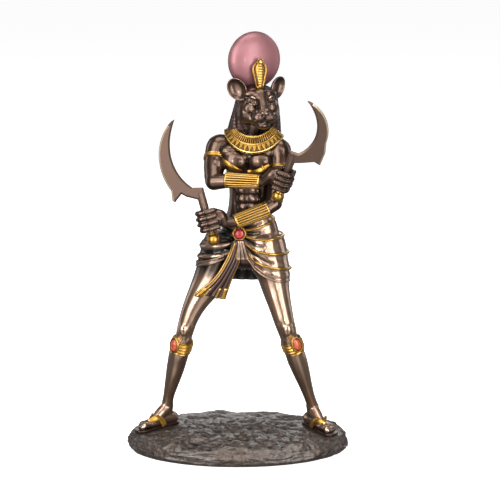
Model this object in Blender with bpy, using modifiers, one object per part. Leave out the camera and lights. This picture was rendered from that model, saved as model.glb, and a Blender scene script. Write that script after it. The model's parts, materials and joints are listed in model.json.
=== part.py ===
"""Striding lion-headed goddess figurine with a sun disc and two sickle swords, on an oval rock."""

import math

import bmesh
import bpy
import numpy as np
from mathutils import Euler, Matrix, Vector, noise
from mathutils.bvhtree import BVHTree

# Driving sizes, in metres
figure_height = 0.2372  # from the top of the rock to the crown of the head
rock_length = 0.152
rock_depth = 0.0915
rock_height = 0.013
rock_relief = 0.0021  # how far the strata rise and fall on top
touch_gap = 0.0003  # clearance between pieces that touch
sole_thickness = 0.0018

disc_radius = 0.0189
disc_thickness = 0.0165
disc_sink = 0.0038  # how deep the disc sits in the crown

blade_thickness = 0.0026
blade_bevel = 0.0017  # width of the sharpened strip
shaft_width = 0.0057
grip_radius = 0.0020
pommel_radius = 0.0042
pommel_drop = 0.0133  # from the middle of the fist to the middle of the pommel
blade_rise = 0.0215  # from the middle of the fist to the blade's shoulder
shaft_length = 0.0140  # flat stem under the shoulder

belt_stone_radius = 0.0034
garter_stone_radii = (0.0027, 0.0043)
stone_dome = 0.0018
stone_seat = 0.0009  # depth of the pocket that holds a stone
bezel_wall = 0.0012
bezel_height = 0.0016

skin_triangles = 2780
sharp_angle = math.radians(40)

# The pose is written in units of the figure: 237.2 of them make its height
unit = figure_height / 237.2
grain = 0.75 * unit
body_yaw = math.radians(-12)
head_yaw = math.radians(18)
disc_yaw = math.radians(25)

body_turn = Matrix.Rotation(body_yaw, 4, "Z")
kilt_lift = 0.7
hip_axis = (5.0, 3.5)

model = bpy.data.collections.new("lion_goddess_figurine")
helpers = bpy.data.collections.new("cutters")


def place(x, y, z):
    """A point of the pose, with z counted from the top of the rock."""
    return Vector((x * unit, y * unit, rock_height + z * unit))


def clear_scene():
    for old in list(bpy.data.objects):
        bpy.data.objects.remove(old)
    for collection in (model, helpers):
        bpy.context.scene.collection.children.link(collection)
    helpers.hide_render = True


def finish(name, colour, roughness, metallic):
    material = bpy.data.materials.new(name)
    material.use_nodes = True
    shader = material.node_tree.nodes["Principled BSDF"]
    shader.inputs["Base Color"].default_value = (*colour, 1.0)
    shader.inputs["Roughness"].default_value = roughness
    shader.inputs["Metallic"].default_value = metallic
    return material


def new_object(name, mesh, collection=model, material=None):
    mesh.shade_smooth()
    mesh.set_sharp_from_angle(angle=sharp_angle)
    made = bpy.data.objects.new(name, mesh)
    collection.objects.link(made)
    if material:
        mesh.materials.append(material)
    if collection is helpers:
        made.hide_render = True
        made.display_type = "WIRE"
    return made


def mesh_from(bm, name):
    bmesh.ops.recalc_face_normals(bm, faces=bm.faces)
    mesh = bpy.data.meshes.new(name)
    bm.to_mesh(mesh)
    bm.free()
    return mesh


def evaluated_mesh(obj):
    bpy.context.view_layer.update()
    graph = bpy.context.evaluated_depsgraph_get()
    return bpy.data.meshes.new_from_object(obj.evaluated_get(graph))


def boolean(obj, other, operation):
    modifier = obj.modifiers.new(f"{operation.lower()} {other.name}", "BOOLEAN")
    modifier.operation = operation
    modifier.solver = "EXACT"
    modifier.object = other


# Shapes made ring by ring

def loft(name, rings, collection=helpers, material=None):
    """A closed solid through rings of equal count, capped at both ends."""
    bm = bmesh.new()
    rows = [[bm.verts.new(point) for point in ring] for ring in rings]
    for low, high in zip(rows, rows[1:]):
        for i in range(len(low)):
            j = (i + 1) % len(low)
            bm.faces.new((low[i], low[j], high[j], high[i]))
    bm.faces.new(rows[0])
    bm.faces.new(rows[-1])
    return new_object(name, mesh_from(bm, name), collection, material)


def oval(frame, rx, ry, z, count, start=0.0):
    """A ring of points in the frame's plane at height z."""
    turns = [start + 2 * math.pi * i / count for i in range(count)]
    return [frame @ Vector((rx * math.cos(t), ry * math.sin(t), z)) for t in turns]


def frame_along(start, end, side=Vector((0, 0, 1))):
    """A frame at start whose z points to end and whose x lies near side."""
    z = (end - start).normalized()
    x = (side - z * side.dot(z)).normalized()
    turn = Matrix((x, z.cross(x), z)).transposed().to_4x4()
    return Matrix.Translation(start) @ turn


def ball(name, frame, radii, around=24, collection=helpers, material=None):
    bm = bmesh.new()
    bmesh.ops.create_uvsphere(
        bm, u_segments=around, v_segments=around * 2 // 3, radius=1.0,
        matrix=frame @ Matrix.Diagonal((*radii, 1.0)),
    )
    return new_object(name, mesh_from(bm, name), collection, material)


def rod(name, frame, radii, low, high, sides=12):
    """A round or oval bar along the frame's z."""
    bm = bmesh.new()
    size = Matrix.Diagonal((radii[0], radii[1], high - low, 1.0))
    bmesh.ops.create_cone(
        bm, cap_ends=True, segments=sides, radius1=1.0, radius2=1.0, depth=1.0,
        matrix=frame @ Matrix.Translation((0, 0, (low + high) / 2)) @ size,
    )
    return new_object(name, mesh_from(bm, name), helpers)


def block(name, frame, size, low):
    """A box centred on the frame's z, with its underside at low."""
    bm = bmesh.new()
    middle = Matrix.Translation((0, 0, low + size[2] / 2))
    bmesh.ops.create_cube(bm, size=1.0, matrix=frame @ middle @ Matrix.Diagonal((*size, 1.0)))
    return new_object(name, mesh_from(bm, name), helpers)


# Masses blended under one skin

def unit_ball(around):
    bm = bmesh.new()
    bmesh.ops.create_uvsphere(bm, u_segments=around, v_segments=around // 2 + 1, radius=1.0)
    points = np.array([v.co for v in bm.verts])
    faces = [[v.index for v in face.verts] for face in bm.faces]
    bm.free()
    return points, faces


ball_points, ball_faces = unit_ball(14)


def smooth_path(keys, steps):
    """Catmull-Rom points through the keys, whatever each key holds."""
    keys = [np.array(key, float) for key in keys]
    ends = [2 * keys[0] - keys[1], *keys, 2 * keys[-1] - keys[-2]]
    path = []
    for a, b, c, d in zip(ends, ends[1:], ends[2:], ends[3:]):
        for step in range(steps):
            t = step / steps
            path.append(
                0.5 * (2 * b + (c - a) * t + (2 * a - 5 * b + 4 * c - d) * t**2
                       + (3 * b - a - 3 * c + d) * t**3)
            )
    return [*path, keys[-1]]


def egg(clay, centre, radii, turn=Matrix()):
    """An ellipsoid, in the units of the figure."""
    points = ball_points * np.array(radii) * unit
    clay.append((points @ np.array(turn.to_3x3()).T + np.array(centre), ball_faces))


def limb(clay, keys, turn=Matrix(), steps=4, where=None):
    """Eggs strung along a smooth path. A key is x, y, z and one radius, or three."""
    full = [key if len(key) == 6 else (*key, key[3], key[3]) for key in keys]
    for x, y, z, rx, ry, rz in smooth_path(full, steps):
        centre = place(x, y, z) if where is None else where @ (Vector((x, y, z)) * unit)
        egg(clay, centre, (rx, ry, rz), turn)


def one_skin(clay, name):
    points = np.concatenate([points for points, faces in clay])
    faces, first = [], 0
    for more, sides in clay:
        faces += [[first + i for i in side] for side in sides]
        first += len(more)
    mesh = bpy.data.meshes.new(name)
    mesh.from_pydata(points.tolist(), [], faces)
    body = new_object(name, mesh, helpers)
    remesh = body.modifiers.new("one skin", "REMESH")
    remesh.mode = "VOXEL"
    remesh.voxel_size = grain
    blend = body.modifiers.new("blend", "SMOOTH")
    blend.factor = 0.5
    blend.iterations = 3
    skin = evaluated_mesh(body)
    bpy.data.objects.remove(body)
    return skin


# The body, part by part

def torso_masses(clay):
    limb(clay, [
        (5.5, 4, 121, 16, 12, 9), (6, 3.5, 134, 17, 12, 8), (6.8, 3, 144, 16.6, 10.6, 7),
        (7.6, 3, 151, 14.8, 9.6, 6), (8.0, 2.7, 158, 14.0, 9, 7), (8.4, 2.5, 166, 14.2, 9, 7),
        (8.4, 2.5, 176, 15.6, 10, 7), (8.3, 2.2, 184, 17, 10.6, 7), (8.8, 2.8, 190, 17.2, 9.5, 6),
        (9.8, 3.5, 196, 12, 7.5, 4),
    ], body_turn)
    limb(clay, [(-10, 4.5, 197, 6.0), (0, 4.5, 199.5, 5.6), (9.9, 4.5, 200, 6.2),
                (19, 2.5, 198.2, 5.4), (26, -0.5, 195, 5.8)])
    for x, y in ((-1.2, -7.0), (14.6, -8.8)):
        egg(clay, place(x, y, 186.5), (7.8, 6.4, 7.4), body_turn)
    for x, y, z in ((-9, 5, 125), (19.4, 3.5, 126.5)):
        egg(clay, place(x, y, z), (13.5, 12.5, 14.5), body_turn)
    egg(clay, place(17.0, 3, 138), (10.4, 10.2, 12), body_turn)
    for x, y in ((-3, 11), (15.5, 8.5)):
        egg(clay, place(x, y, 126), (10, 8.5, 11), body_turn)


def neck_masses(clay):
    limb(clay, [(9.9, 4.5, 196, 7.6), (10.6, 4, 204, 6.2), (12, 3, 212, 6.4), (13, 3, 219, 7)])


right_leg = [
    (-10, 5, 126, 14.4), (-14.4, 4, 113, 13.0), (-18.5, 2.5, 104.5, 11.6), (-23.6, 0.5, 97, 9.4),
    (-28.9, -1.5, 88, 7.6), (-32.8, -3, 79, 6.5), (-35.1, -3.5, 71.3, 6.0), (-36.6, -2.6, 65, 5.7),
    (-38.2, -0.6, 59.5, 6.3), (-39.6, 0.6, 54.5, 6.9), (-41.3, 3, 47, 6.6), (-42.9, 4.8, 40, 6.0),
    (-45.2, 7.5, 30.5, 4.9), (-47.2, 10, 22, 4.0), (-48.4, 11.6, 15, 4.1), (-48.8, 12.2, 9, 4.2),
]
left_leg = [
    (18, 2.5, 128, 14.0), (21.5, 1, 118, 12.6), (23.8, -0.5, 110, 11.0), (25.4, -2.5, 102.3, 9.7),
    (27.2, -5, 95, 8.6), (29, -7, 88.5, 7.8), (31.3, -9.5, 80, 7.0), (33.4, -10.6, 73.2, 6.4),
    (35.1, -9.8, 67, 5.9), (37.6, -7.6, 60, 6.4), (40.3, -4.4, 51.5, 6.8), (43, -1.6, 43, 6.1),
    (46.6, 2.6, 31, 4.7), (49, 5.2, 23, 4.0), (51.3, 8, 15.3, 4.0), (51.8, 8.8, 9, 4.2),
]
knees = (((-36.2, -8.0, 72.5), (3.4, 2.6, 4.4)), ((33.6, -15.4, 74.5), (3.5, 2.8, 4.6)))


def leg_masses(clay):
    limb(clay, right_leg)
    limb(clay, left_leg)
    for centre, radii in knees:
        egg(clay, place(*centre), radii)
    for x, y, z in ((-48.3, 11.5, 14.5), (51.5, 8.0, 14.8)):
        egg(clay, place(x, y, z), (5.2, 3.0, 2.4), Matrix.Rotation(0.5 if x > 0 else 0.7, 4, "Z"))


# Each foot: where its heel stands, which way it points, and the side of its big toe
feet = {
    "right": {"heel": (-45.3, 15.0), "angle": math.radians(220.8), "inner": 1},
    "left": {"heel": (49.3, 13.2), "angle": math.radians(-59.0), "inner": -1},
}
toes = [(3.3, 22, 30.0, 2.15), (0.3, 22.5, 29.3, 1.5), (-2.0, 22, 27.8, 1.4),
        (-4.1, 21, 26.0, 1.35), (-6.0, 19.5, 23.8, 1.35)]
sole_shape = [(-4.9, 0.4, -0.4), (-4.2, 2.6, -2.6), (-1.5, 4.3, -4.2), (4, 4.4, -4.3),
              (10, 4.2, -4.6), (16, 5.0, -5.8), (21, 5.9, -7.2), (25, 6.1, -7.0), (29, 5.8, -5.0),
              (31.6, 4.0, -1.0), (32.2, 2.6, 1.0)]  # x, inner edge, outer edge


def foot_frame(foot):
    """Local x runs from heel to toes, y to the big toe and z up from the sole."""
    flip = Matrix.Diagonal((1, foot["inner"], 1, 1))
    return Matrix.Translation(place(*foot["heel"], 0)) @ Matrix.Rotation(foot["angle"], 4, "Z") @ flip


def foot_masses(clay, foot):
    where = foot_frame(foot)
    turn = where.to_3x3().to_4x4()
    sole = sole_thickness / unit
    limb(clay, [(0, 0, 4.6, 4.5, 4.3, 4.4), (8, 0.2, 5.2, 4, 4.0, 4.4), (15, 0.2, 4.4, 4, 4.6, 3.5),
                (21, -0.5, 3.6, 3.4, 5.6, 2.4)], turn, where=where)
    limb(clay, [(4, 0, 13, 4.2), (9.5, 0.5, 10, 4.1), (15, 1, 6.8, 3.4), (20, 1.5, 4.5, 2.6)],
         turn, where=where)
    for y, start, end, radius in toes:
        middle = (start + end) / 2
        limb(clay, [(start, y, sole + radius * 1.15, radius), (middle, y, sole + radius * 1.35, radius),
                    (end - radius, y, sole + radius * 0.85, radius)], turn, where=where)


def sole_slab(name, foot, low, high, grow=0.0):
    where = foot_frame(foot)
    edge = [(x, inner + grow) for x, inner, outer in sole_shape]
    edge += [(x, outer - grow) for x, inner, outer in reversed(sole_shape)]
    rings = []
    for z in (low, high):
        rings.append([where @ Vector((x * unit, y * unit, z)) for x, y in edge])
    return loft(name, rings)


right_arm = [
    (-7.5, 4.5, 196.6, 7.0), (-12.3, 3.6, 195.6, 7.8), (-14.4, 0.8, 190.0, 7.2),
    (-15.3, -4.2, 183.6, 6.8), (-15.4, -9.2, 178.4, 6.2), (-15.4, -12.8, 175.0, 5.8),
]
right_forearm = [(-15.2, -13.4, 174.6, 5.7), (-9, -15.8, 175.4, 5.0), (0, -18, 175.9, 4.2),
                 (9, -20, 176.0, 3.8), (16.5, -21.6, 175.9, 3.2)]
left_arm = [
    (24.5, -0.8, 195.4, 6.8), (28.2, -2.2, 194.0, 7.6), (28.8, -4.4, 186.4, 6.9),
    (27.2, -7, 176, 6.3), (25.8, -9.4, 167, 5.9), (25.2, -11, 161.5, 5.3),
]
left_forearm = [(24.8, -11.6, 160, 5.3), (17, -14.6, 155.4, 4.9), (8, -16.8, 151.6, 4.4),
                (-1.7, -19, 148.5, 3.5), (-8, -20, 148.4, 3.0)]


def arm_masses(clay):
    for path in (right_arm, right_forearm, left_arm, left_forearm):
        limb(clay, path, steps=5)


# Each hand closes round a grip. The frame's z runs up the grip and x away from the wrist.
def hand_frame(centre, lean_side, lean_back, away):
    turn = (Matrix.Rotation(lean_back, 4, "X") @ Matrix.Rotation(lean_side, 4, "Y")
            @ Matrix.Diagonal((away, 1, 1, 1)))
    return Matrix.Translation(place(*centre)) @ turn


hands = {
    "right": hand_frame((30.8, -22.5, 178.0), math.radians(17), math.radians(20), 1),
    "left": hand_frame((-19.0, -20.5, 150.4), math.radians(-15.5), math.radians(-6), -1),
}
wrists = {"right": (16.5, -21.6, 175.9), "left": (-8, -20, 148.4)}
finger_rows = (5.7, 1.9, -1.9, -5.7)
finger_reach = {"right": 4.9, "left": 6.2}


def hand_masses(clay, side):
    where = hands[side]
    turn = where.to_3x3().to_4x4()
    for row in finger_rows:
        reach = finger_reach[side] - 0.02 * row * row
        limb(clay, [(-5.5, -4.0, row, 1.8), (0.5, -4.9, row, 1.95), (reach - 1.2, -3.7, row, 1.95),
                    (reach, 0.2, row, 1.85), (reach - 2.2, 3.7, row, 1.8), (-1.5, 4.2, row, 1.7)],
             turn, steps=3, where=where)
    egg(clay, where @ Vector((-6.0 * unit, -0.4 * unit, 0)), (4.8, 4.4, 6.4), turn)
    wrist = where.inverted() @ place(*wrists[side]) / unit
    limb(clay, [(*wrist, 3.1, 3.1, 3.1), (-9.5, -0.6, 0.3, 3.2, 3.6, 4.0), (-6, -0.6, 0, 3.6, 4.2, 5.6)],
         turn, where=where)
    limb(clay, [(-9, 2.0, 2.0, 2.6), (-5, 4.9, 3.4, 2.2), (0.5, 6.0, 4.2, 1.8), (5.6, 4.4, 4.6, 1.5)],
         turn, steps=3, where=where)


# The head faces -y in its own frame
head_centre = (13.3, 0.5, 223.0)
head_frame = Matrix.Translation(place(*head_centre)) @ Matrix.Rotation(head_yaw, 4, "Z")
ear_spot, ear_radii = (14.2, -0.8, 11.6), (6.3, 3.0, 7.9)


def head_egg(clay, centre, radii, tilt=(0, 0, 0)):
    turn = head_frame.to_3x3().to_4x4() @ Euler(tilt).to_matrix().to_4x4()
    egg(clay, head_frame @ (Vector(centre) * unit), radii, turn)


def head_masses(clay):
    head_egg(clay, (0, 2.5, 2.0), (12.4, 12.5, 12.4))
    head_egg(clay, (0, -6.0, 5.0), (10.6, 5.8, 6.6))
    head_egg(clay, (0, -6.6, -7.0), (10.4, 9.0, 5.8))
    head_egg(clay, (0, -11.4, -4.6), (7.4, 6.6, 5.2))
    head_egg(clay, (0, -12.6, -10.6), (5.2, 4.6, 3.0))
    for side in (-1, 1):
        head_egg(clay, (side * 7.6, -2.0, -3.2), (7.0, 8.0, 9.0))
        head_egg(clay, (side * 3.3, -14.6, -5.6), (3.9, 3.7, 3.3))
        head_egg(clay, (side * 6.4, -10.0, 7.4), (4.4, 1.9, 1.5), (0, side * 0.2, side * 0.4))
        head_egg(clay, (side * 6.6, -9.8, 4.4), (2.6, 1.8, 1.8), (0, 0, side * 0.4))
        head_egg(clay, (side * 7.2, -8.6, 0.4), (4.0, 3.0, 2.6))
        ear(clay, side)
    limb(clay, [(0, -9.2, 7.0, 3.3), (0, -12.0, 2.6, 3.3), (0, -14.8, 0.0, 3.2), (0, -16.6, -1.6, 2.7)],
         where=head_frame)
    head_egg(clay, (0, -17.6, -2.6), (3.0, 1.6, 1.7))


def ear(clay, side):
    """A round ear, dished on its front."""
    x, y, z = ear_spot
    frame = (head_frame @ Matrix.Translation(Vector((side * x, y, z)) * unit)
             @ Euler((0.1, side * 0.55, side * 0.6)).to_matrix().to_4x4())
    points, faces = unit_ball(24)
    front = points[:, 1] < 0
    dish = 0.5 * (1 - points[:, 0] ** 2 - points[:, 2] ** 2) - 0.35
    points[:, 1] = np.where(front, dish, points[:, 1])
    points = points * np.array(ear_radii) * unit
    clay.append((points @ np.array(frame.to_3x3()).T + np.array(frame.translation), faces))


def wig_masses(clay):
    turn = Matrix.Rotation(head_yaw * 0.5, 4, "Z")
    limb(clay, [
        (13.2, 5.0, 227, 14.2, 11.5, 10), (12.4, 7.0, 217, 16.2, 9.8, 8), (11.6, 8.4, 208, 18.0, 8.8, 7),
        (11.0, 9.2, 199, 19.0, 7.6, 6), (10.6, 10.0, 191, 18.6, 6.0, 5),
    ], turn)


def body_skin(parts, name):
    clay = []
    for add in parts:
        add(clay)
    return one_skin(clay, name)


def whole_skin():
    clay = []
    for add in (torso_masses, neck_masses, leg_masses, arm_masses, head_masses, wig_masses):
        add(clay)
    for foot in feet.values():
        foot_masses(clay, foot)
    for side in hands:
        hand_masses(clay, side)
    return one_skin(clay, "figure")


# Carving: each stroke lifts or sinks the skin along a line

def skin_arrays(mesh):
    points = np.empty(len(mesh.vertices) * 3)
    mesh.vertices.foreach_get("co", points)
    normals = np.empty(len(mesh.vertices) * 3)
    mesh.vertices.foreach_get("normal", normals)
    return points.reshape(-1, 3), normals.reshape(-1, 3)


def line_distance(points, line):
    """Distance from each point to a polyline, and the share of the line nearest to it."""
    best = np.full(len(points), np.inf)
    share = np.zeros(len(points))
    for i, (a, b) in enumerate(zip(line[:-1], line[1:])):
        along = b - a
        t = np.clip((points - a) @ along / max(along @ along, 1e-12), 0, 1)
        away = np.linalg.norm(points - a - t[:, None] * along, axis=1)
        nearer = away < best
        best[nearer] = away[nearer]
        share[nearer] = (i + t[nearer]) / (len(line) - 1)
    return best, share


def stroke(points, normals, line, width, height):
    """Lifts the skin by height along a line of points, over width each side."""
    line = np.array([tuple(point) for point in line])
    reach = width * unit
    near = np.where(((points > line.min(0) - reach) & (points < line.max(0) + reach)).all(1))[0]
    if len(near) == 0:
        return
    away, _ = line_distance(points[near], line)
    lift = height * unit * np.clip(1 - (away / reach) ** 2, 0, 1) ** 1.5
    points[near] += normals[near] * lift[:, None]


# The kilt. Each fold sweeps round the hips: heights by angle, where 0 is the front.
folds = [
    {"lift": 1.5, "heights": {-14: 140.5, 35: 142.6, 90: 147.7, 180: 147, 270: 143.5, 318: 141.5, 334: 140.8}},
    {"lift": 1.6, "heights": {-14: 138.7, 35: 134.9, 90: 136, 180: 138, 270: 138.5, 318: 137.3, 334: 138}},
    {"lift": 1.7, "heights": {-14: 135.5, 35: 126.6, 90: 124.7, 180: 127, 270: 128.5, 318: 131.5, 334: 134.9}},
    {"lift": 1.7, "heights": {-10: 133.5, 32: 119, 90: 113.7, 180: 116, 270: 120.8, 318: 125, 334: 130}},
    {"lift": 1.3, "heights": {-4: 128, 30: 114.5, 90: 109.4, 180: 110, 270: 117.2, 318: 121.5, 334: 126}},
]
hem_front = [(-36, 113), (-29, 114), (-23, 116.4), (-17, 118.2), (-9, 121.2), (-4.6, 125.3), (1.2, 126),
             (7, 122.2), (11.2, 114.2), (17.7, 110), (25, 106.9), (35, 105.4)]
hem_back = 104.0


def smoothstep(low, high, value):
    t = np.clip((value - low) / (high - low), 0, 1)
    return t * t * (3 - 2 * t)


def pose_units(points):
    """Points as x, y and height above the rock, in the units of the figure."""
    return (points - np.array((0, 0, rock_height))) / unit


def in_kilt(points):
    """How much of the kilt's thickness lies on each point of the skin."""
    x, y, z = pose_units(points).T
    keys = np.array(hem_front)
    front = np.interp(x, keys[:, 0], keys[:, 1])
    back = smoothstep(2, 9, y + 0.21 * x)
    hem = front + (hem_back - front) * back
    waist = 141 + 6 * smoothstep(4, 24, x) + 3 * smoothstep(4, 20, -x) + 5 * back
    return smoothstep(hem - 0.5, hem + 0.5, z) * (1 - smoothstep(waist - 1, waist + 1, z))


def round_hips(tree, heights, first, last, count=40):
    """Points on the skin round the hips, at heights given by angle."""
    angles, levels = np.array(list(heights.items()), float).T
    path = np.array(smooth_path(np.stack([angles, levels], 1), 8))
    line = []
    for angle in np.linspace(first, last, count):
        level = np.interp(angle, path[:, 0], path[:, 1])
        out = Vector((math.sin(math.radians(angle)), -math.cos(math.radians(angle)), 0))
        hit = tree.ray_cast(place(*hip_axis, level) + out * 70 * unit, -out)[0]
        if hit:
            line.append(hit)
    return line


def front_line(tree, keys, steps=6):
    """Points on the front of the skin behind x, z keys."""
    line = []
    for x, z in smooth_path(keys, steps):
        hit = tree.ray_cast(place(x, -60, z), Vector((0, 1, 0)))[0]
        if hit:
            line.append(hit)
    return line


def carve(mesh, torso_tree):
    points, normals = skin_arrays(mesh)
    cloth = in_kilt(points)
    points += normals * (cloth * kilt_lift * unit)[:, None]
    for fold in folds:
        line = round_hips(torso_tree, fold["heights"], min(fold["heights"]), max(fold["heights"]))
        stroke(points, normals, line, 2.5, fold["lift"])
    for keys in ([(-9, 189), (-6, 184.5), (-1, 181.4), (3, 181.2)],
                 [(7.5, 181.0), (12, 180.8), (17, 182.4), (20.5, 185.6)]):
        stroke(points, normals, front_line(torso_tree, keys), 2.2, 0.9)
    wig_grooves(points, normals)
    for foot in feet.values():
        sandal_straps(points, normals, foot)
    mesh.vertices.foreach_set("co", points.ravel())
    mesh.update()


def wig_grooves(points, normals):
    """Grooves that part the hair into locks, down the back."""
    locks = 9
    for i in range(locks):
        share = (i + 0.5) / locks * 2 - 1
        x = 11.5 + 17.5 * share
        y = 17.6 - 5.5 * share * share
        line = [place(x * 0.8 + 2.6, y - 1.0, 229), place(x * 0.93 + 0.8, y, 215), place(x, y, 202), place(x, y - 1.2, 189)]
        stroke(points, normals, line, 1.6, -0.8)


def sandal_straps(points, normals, foot):
    where = foot_frame(foot)
    for y in (5.4, -6.0):
        keys = [(21.5, 1.8, 5.8), (17.5, 1.5 + y * 0.35, 7.0), (13.5, y * 0.75, 6.6), (10.5, y * 0.95, 2.6)]
        line = [where @ (Vector(tuple(key)) * unit) for key in smooth_path(keys, 4)]
        stroke(points, normals, line, 1.9, 0.8)


# Gold work laid over the skin

def bracer(name, start, end, wide, narrow, flutes=11):
    """A fluted cuff with a plain rim at each end."""
    frame = frame_along(start, end)
    length = (end - start).length
    rim = 1.3 * unit
    rings = []
    for share, plain in ((0, 1), (rim / length, 1), (rim / length, 0), (1 - rim / length, 0),
                         (1 - rim / length, 1), (1, 1)):
        z = share * length + (0.05 * unit if plain == 0 and share < 0.5 else 0)
        z -= 0.05 * unit if plain == 0 and share > 0.5 else 0
        radius = (wide + (narrow - wide) * share) * unit
        ring = []
        for i in range(flutes * 2):
            turn = math.pi * i / flutes
            out = radius if plain else radius - (0.25 + 0.65 * (i % 2)) * unit
            ring.append(frame @ Vector((out * math.cos(turn), out * math.sin(turn), z)))
        rings.append(ring)
    return loft(name, rings)


def ringed_band(name, centre, axis, radii, profile, count=16):
    """A band round a limb, closed through it."""
    frame = frame_along(centre, centre + axis)
    rings = []
    for along, out in profile:
        rings.append(oval(frame, (radii[0] + out) * unit, (radii[1] + out) * unit, along * unit, count))
    return loft(name, rings)


garter_profile = [(-5.0, 0.2), (-4.5, 1.1), (-3.4, 0.6), (-2.3, 1.5), (-1.1, 0.7), (0, 1.5),
                  (1.1, 0.7), (2.3, 1.5), (3.4, 0.6), (4.5, 1.1), (5.0, 0.2)]
armlet_profile = [(-1.6, 0.2), (-1.2, 0.8), (1.2, 0.8), (1.6, 0.2)]


def collar(tree):
    """Two tiers of a broad collar, laid on the shoulders and chest."""
    around = 34
    middle = Vector(place(11.4, 3.0, 0))
    tiers = [(0.0, -2.2), (0.03, 1.3), (0.14, 0.85), (0.46, 0.85), (0.54, 1.35), (0.62, 0.85),
             (0.9, 0.95), (1.0, 0.8), (1.0, -2.2)]
    rows = []
    for across, lift in tiers:
        row = []
        for i in range(around):
            turn = 2 * math.pi * i / around
            side, front = math.sin(turn), math.cos(turn)
            reach_x = (11.4 + 8.2 * across) * unit
            reach_y = (9.4 + 7.2 * across) * unit
            spot = middle + body_turn @ Vector((side * reach_x, -front * reach_y, 0))
            hit = None
            for up in (230, 216, 208):
                start = Vector((spot.x, spot.y, place(0, 0, up).z))
                hit = tree.ray_cast(start, Vector((0, 0, -1)))[0]
                if hit:
                    break
            drop = max(front, 0) ** 1.5
            inner, outer = 208.5 - 5.3 * drop, 203.8 - 10.8 * drop - 1.8 * side
            level = place(0, 0, inner + (outer - inner) * across).z
            if hit:
                level = max(level, hit.z)
            fluted = 0.28 * (-1) ** i if across in (0.14, 0.46, 0.62, 0.9) else 0
            slope = Vector((side * 0.45, -front * 0.6, 0.75)).normalized()
            row.append(Vector((spot.x, spot.y, level)) + slope * (lift + fluted) * unit)
        rows.append(row)
    bm = bmesh.new()
    grid = [[bm.verts.new(point) for point in row] for row in rows]
    count = len(grid)
    for r in range(count):
        for i in range(around):
            j = (i + 1) % around
            s = (r + 1) % count
            bm.faces.new((grid[r][i], grid[r][j], grid[s][j], grid[s][i]))
    return new_object("collar", mesh_from(bm, "collar"), helpers)


def pleated_cloth(name, stations, pleats, depth):
    """A hanging cloth. A station is its middle x, y, z, its half width and its slant."""
    across = pleats * 3
    rings = []
    for x, y, z, half, slant in smooth_path(stations, 2):
        front, back = [], []
        for i in range(across + 1):
            share = 2 * i / across - 1
            wave = depth * abs(math.sin(math.pi * pleats * i / across))
            spot = (x + half * share, y + 0.16 * half * share, z + slant * share)
            front.append(place(spot[0], spot[1] - 0.8 - wave, spot[2]))
            back.append(place(spot[0], spot[1] + 1.0, spot[2]))
        rings.append([*front, *reversed(back)])
    return loft(name, rings)


def back_cloth():
    """The back of the kilt, hanging across both thighs."""
    edge = [(-26, 9.6), (-21, 12.4), (-14, 13.4), (-5, 13.4), (4, 12.8), (13, 11.6), (22, 9.0), (29, 5.4), (33, 2.0)]
    rings = []
    for low, swing, draw in ((132, -5.0, 0.66), (122, -1.6, 0.86), (112, 0.0, 0.96), (102.6, 0.8, 1.0)):
        front, back = [], []
        for i, (x, y) in enumerate(edge):
            ripple = 0.35 * (-1) ** i
            x = 4 + (x - 4) * draw
            level = low + 0.0025 * (x - 5) ** 2
            front.append(place(x, y + swing - 2.4, level))
            back.append(place(x, y + swing + 0.4 + ripple, level))
        rings.append([*front, *reversed(back)])
    return loft("back_cloth", rings)


def cobra():
    """The rearing cobra on the brow, with a spread hood."""
    spine = [(-4.4, 9.0, 2.6, 2.2), (-5.2, 13.5, 2.7, 1.8), (-5.6, 16.5, 3.3, 1.6), (-5.5, 20.5, 4.6, 1.4),
             (-5.2, 24.5, 5.1, 1.3), (-4.8, 27.5, 4.2, 1.3), (-4.8, 29.2, 2.6, 1.4), (-5.0, 30.6, 1.9, 1.5)]
    rings = []
    for y, z, half, thick in spine:
        frame = head_frame @ Matrix.Translation(Vector((0, y, z)) * unit)
        rings.append(oval(frame, half * unit, thick * unit, 0, 10))
    return loft("cobra", rings)


def cobra_face():
    frame = head_frame @ Matrix.Translation(Vector((0, -6.4, 30.4)) * unit) @ Matrix.Rotation(0.35, 4, "X")
    return ball("cobra_face", frame, (1.9 * unit, 2.8 * unit, 1.5 * unit), 9)


# Jewels. Each sits in a bezel, in a frame whose z points out of the skin.
def jewel_frame(spot, out, up=Vector((0, 0, 1))):
    start = place(*spot)
    z = Vector(out).normalized()
    y = (up - z * up.dot(z)).normalized()
    return Matrix.Translation(start) @ Matrix((y.cross(z), y, z)).transposed().to_4x4()


jewels = {
    "belt_stone": (jewel_frame((1.6, -11.4, 139.4), (-0.1, -1, 0.12)), (belt_stone_radius, belt_stone_radius)),
    "garter_stone_right": (
        jewel_frame((-42.0, -6.3, 61.6), (-0.62, -0.78, 0.05), Vector((0.24, 0.1, 1))), garter_stone_radii),
    "garter_stone_left": (
        jewel_frame((39.6, -14.6, 64.4), (0.42, -0.9, 0.1), Vector((-0.34, -0.3, 1))), garter_stone_radii),
}


def bezel(name, frame, radii):
    outer = [radius + bezel_wall for radius in radii]
    rings = []
    for z, grow in ((-3.0 * unit, 0.0), (bezel_height * 0.55, 0.0), (bezel_height, -bezel_wall * 0.4)):
        rings.append(oval(frame, outer[0] + grow, outer[1] + grow, z, 16))
    return loft(name + "_bezel", rings)


def stone_pocket(name, frame, radii):
    floor = bezel_height - stone_seat
    room = [radius + touch_gap for radius in radii]
    return rod(name + "_pocket", frame, room, floor, floor + 0.004, 16)


def stone(name, frame, radii, material):
    """A polished cabochon, flat behind."""
    foot = bezel_height - stone_seat + touch_gap
    rings = []
    for step in range(4):
        lift = step / 4
        shrink = math.sqrt(1 - lift * lift)
        rings.append(oval(frame, radii[0] * shrink, radii[1] * shrink, foot + lift * stone_dome, 16))
    return loft(name, rings, model, material)


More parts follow.
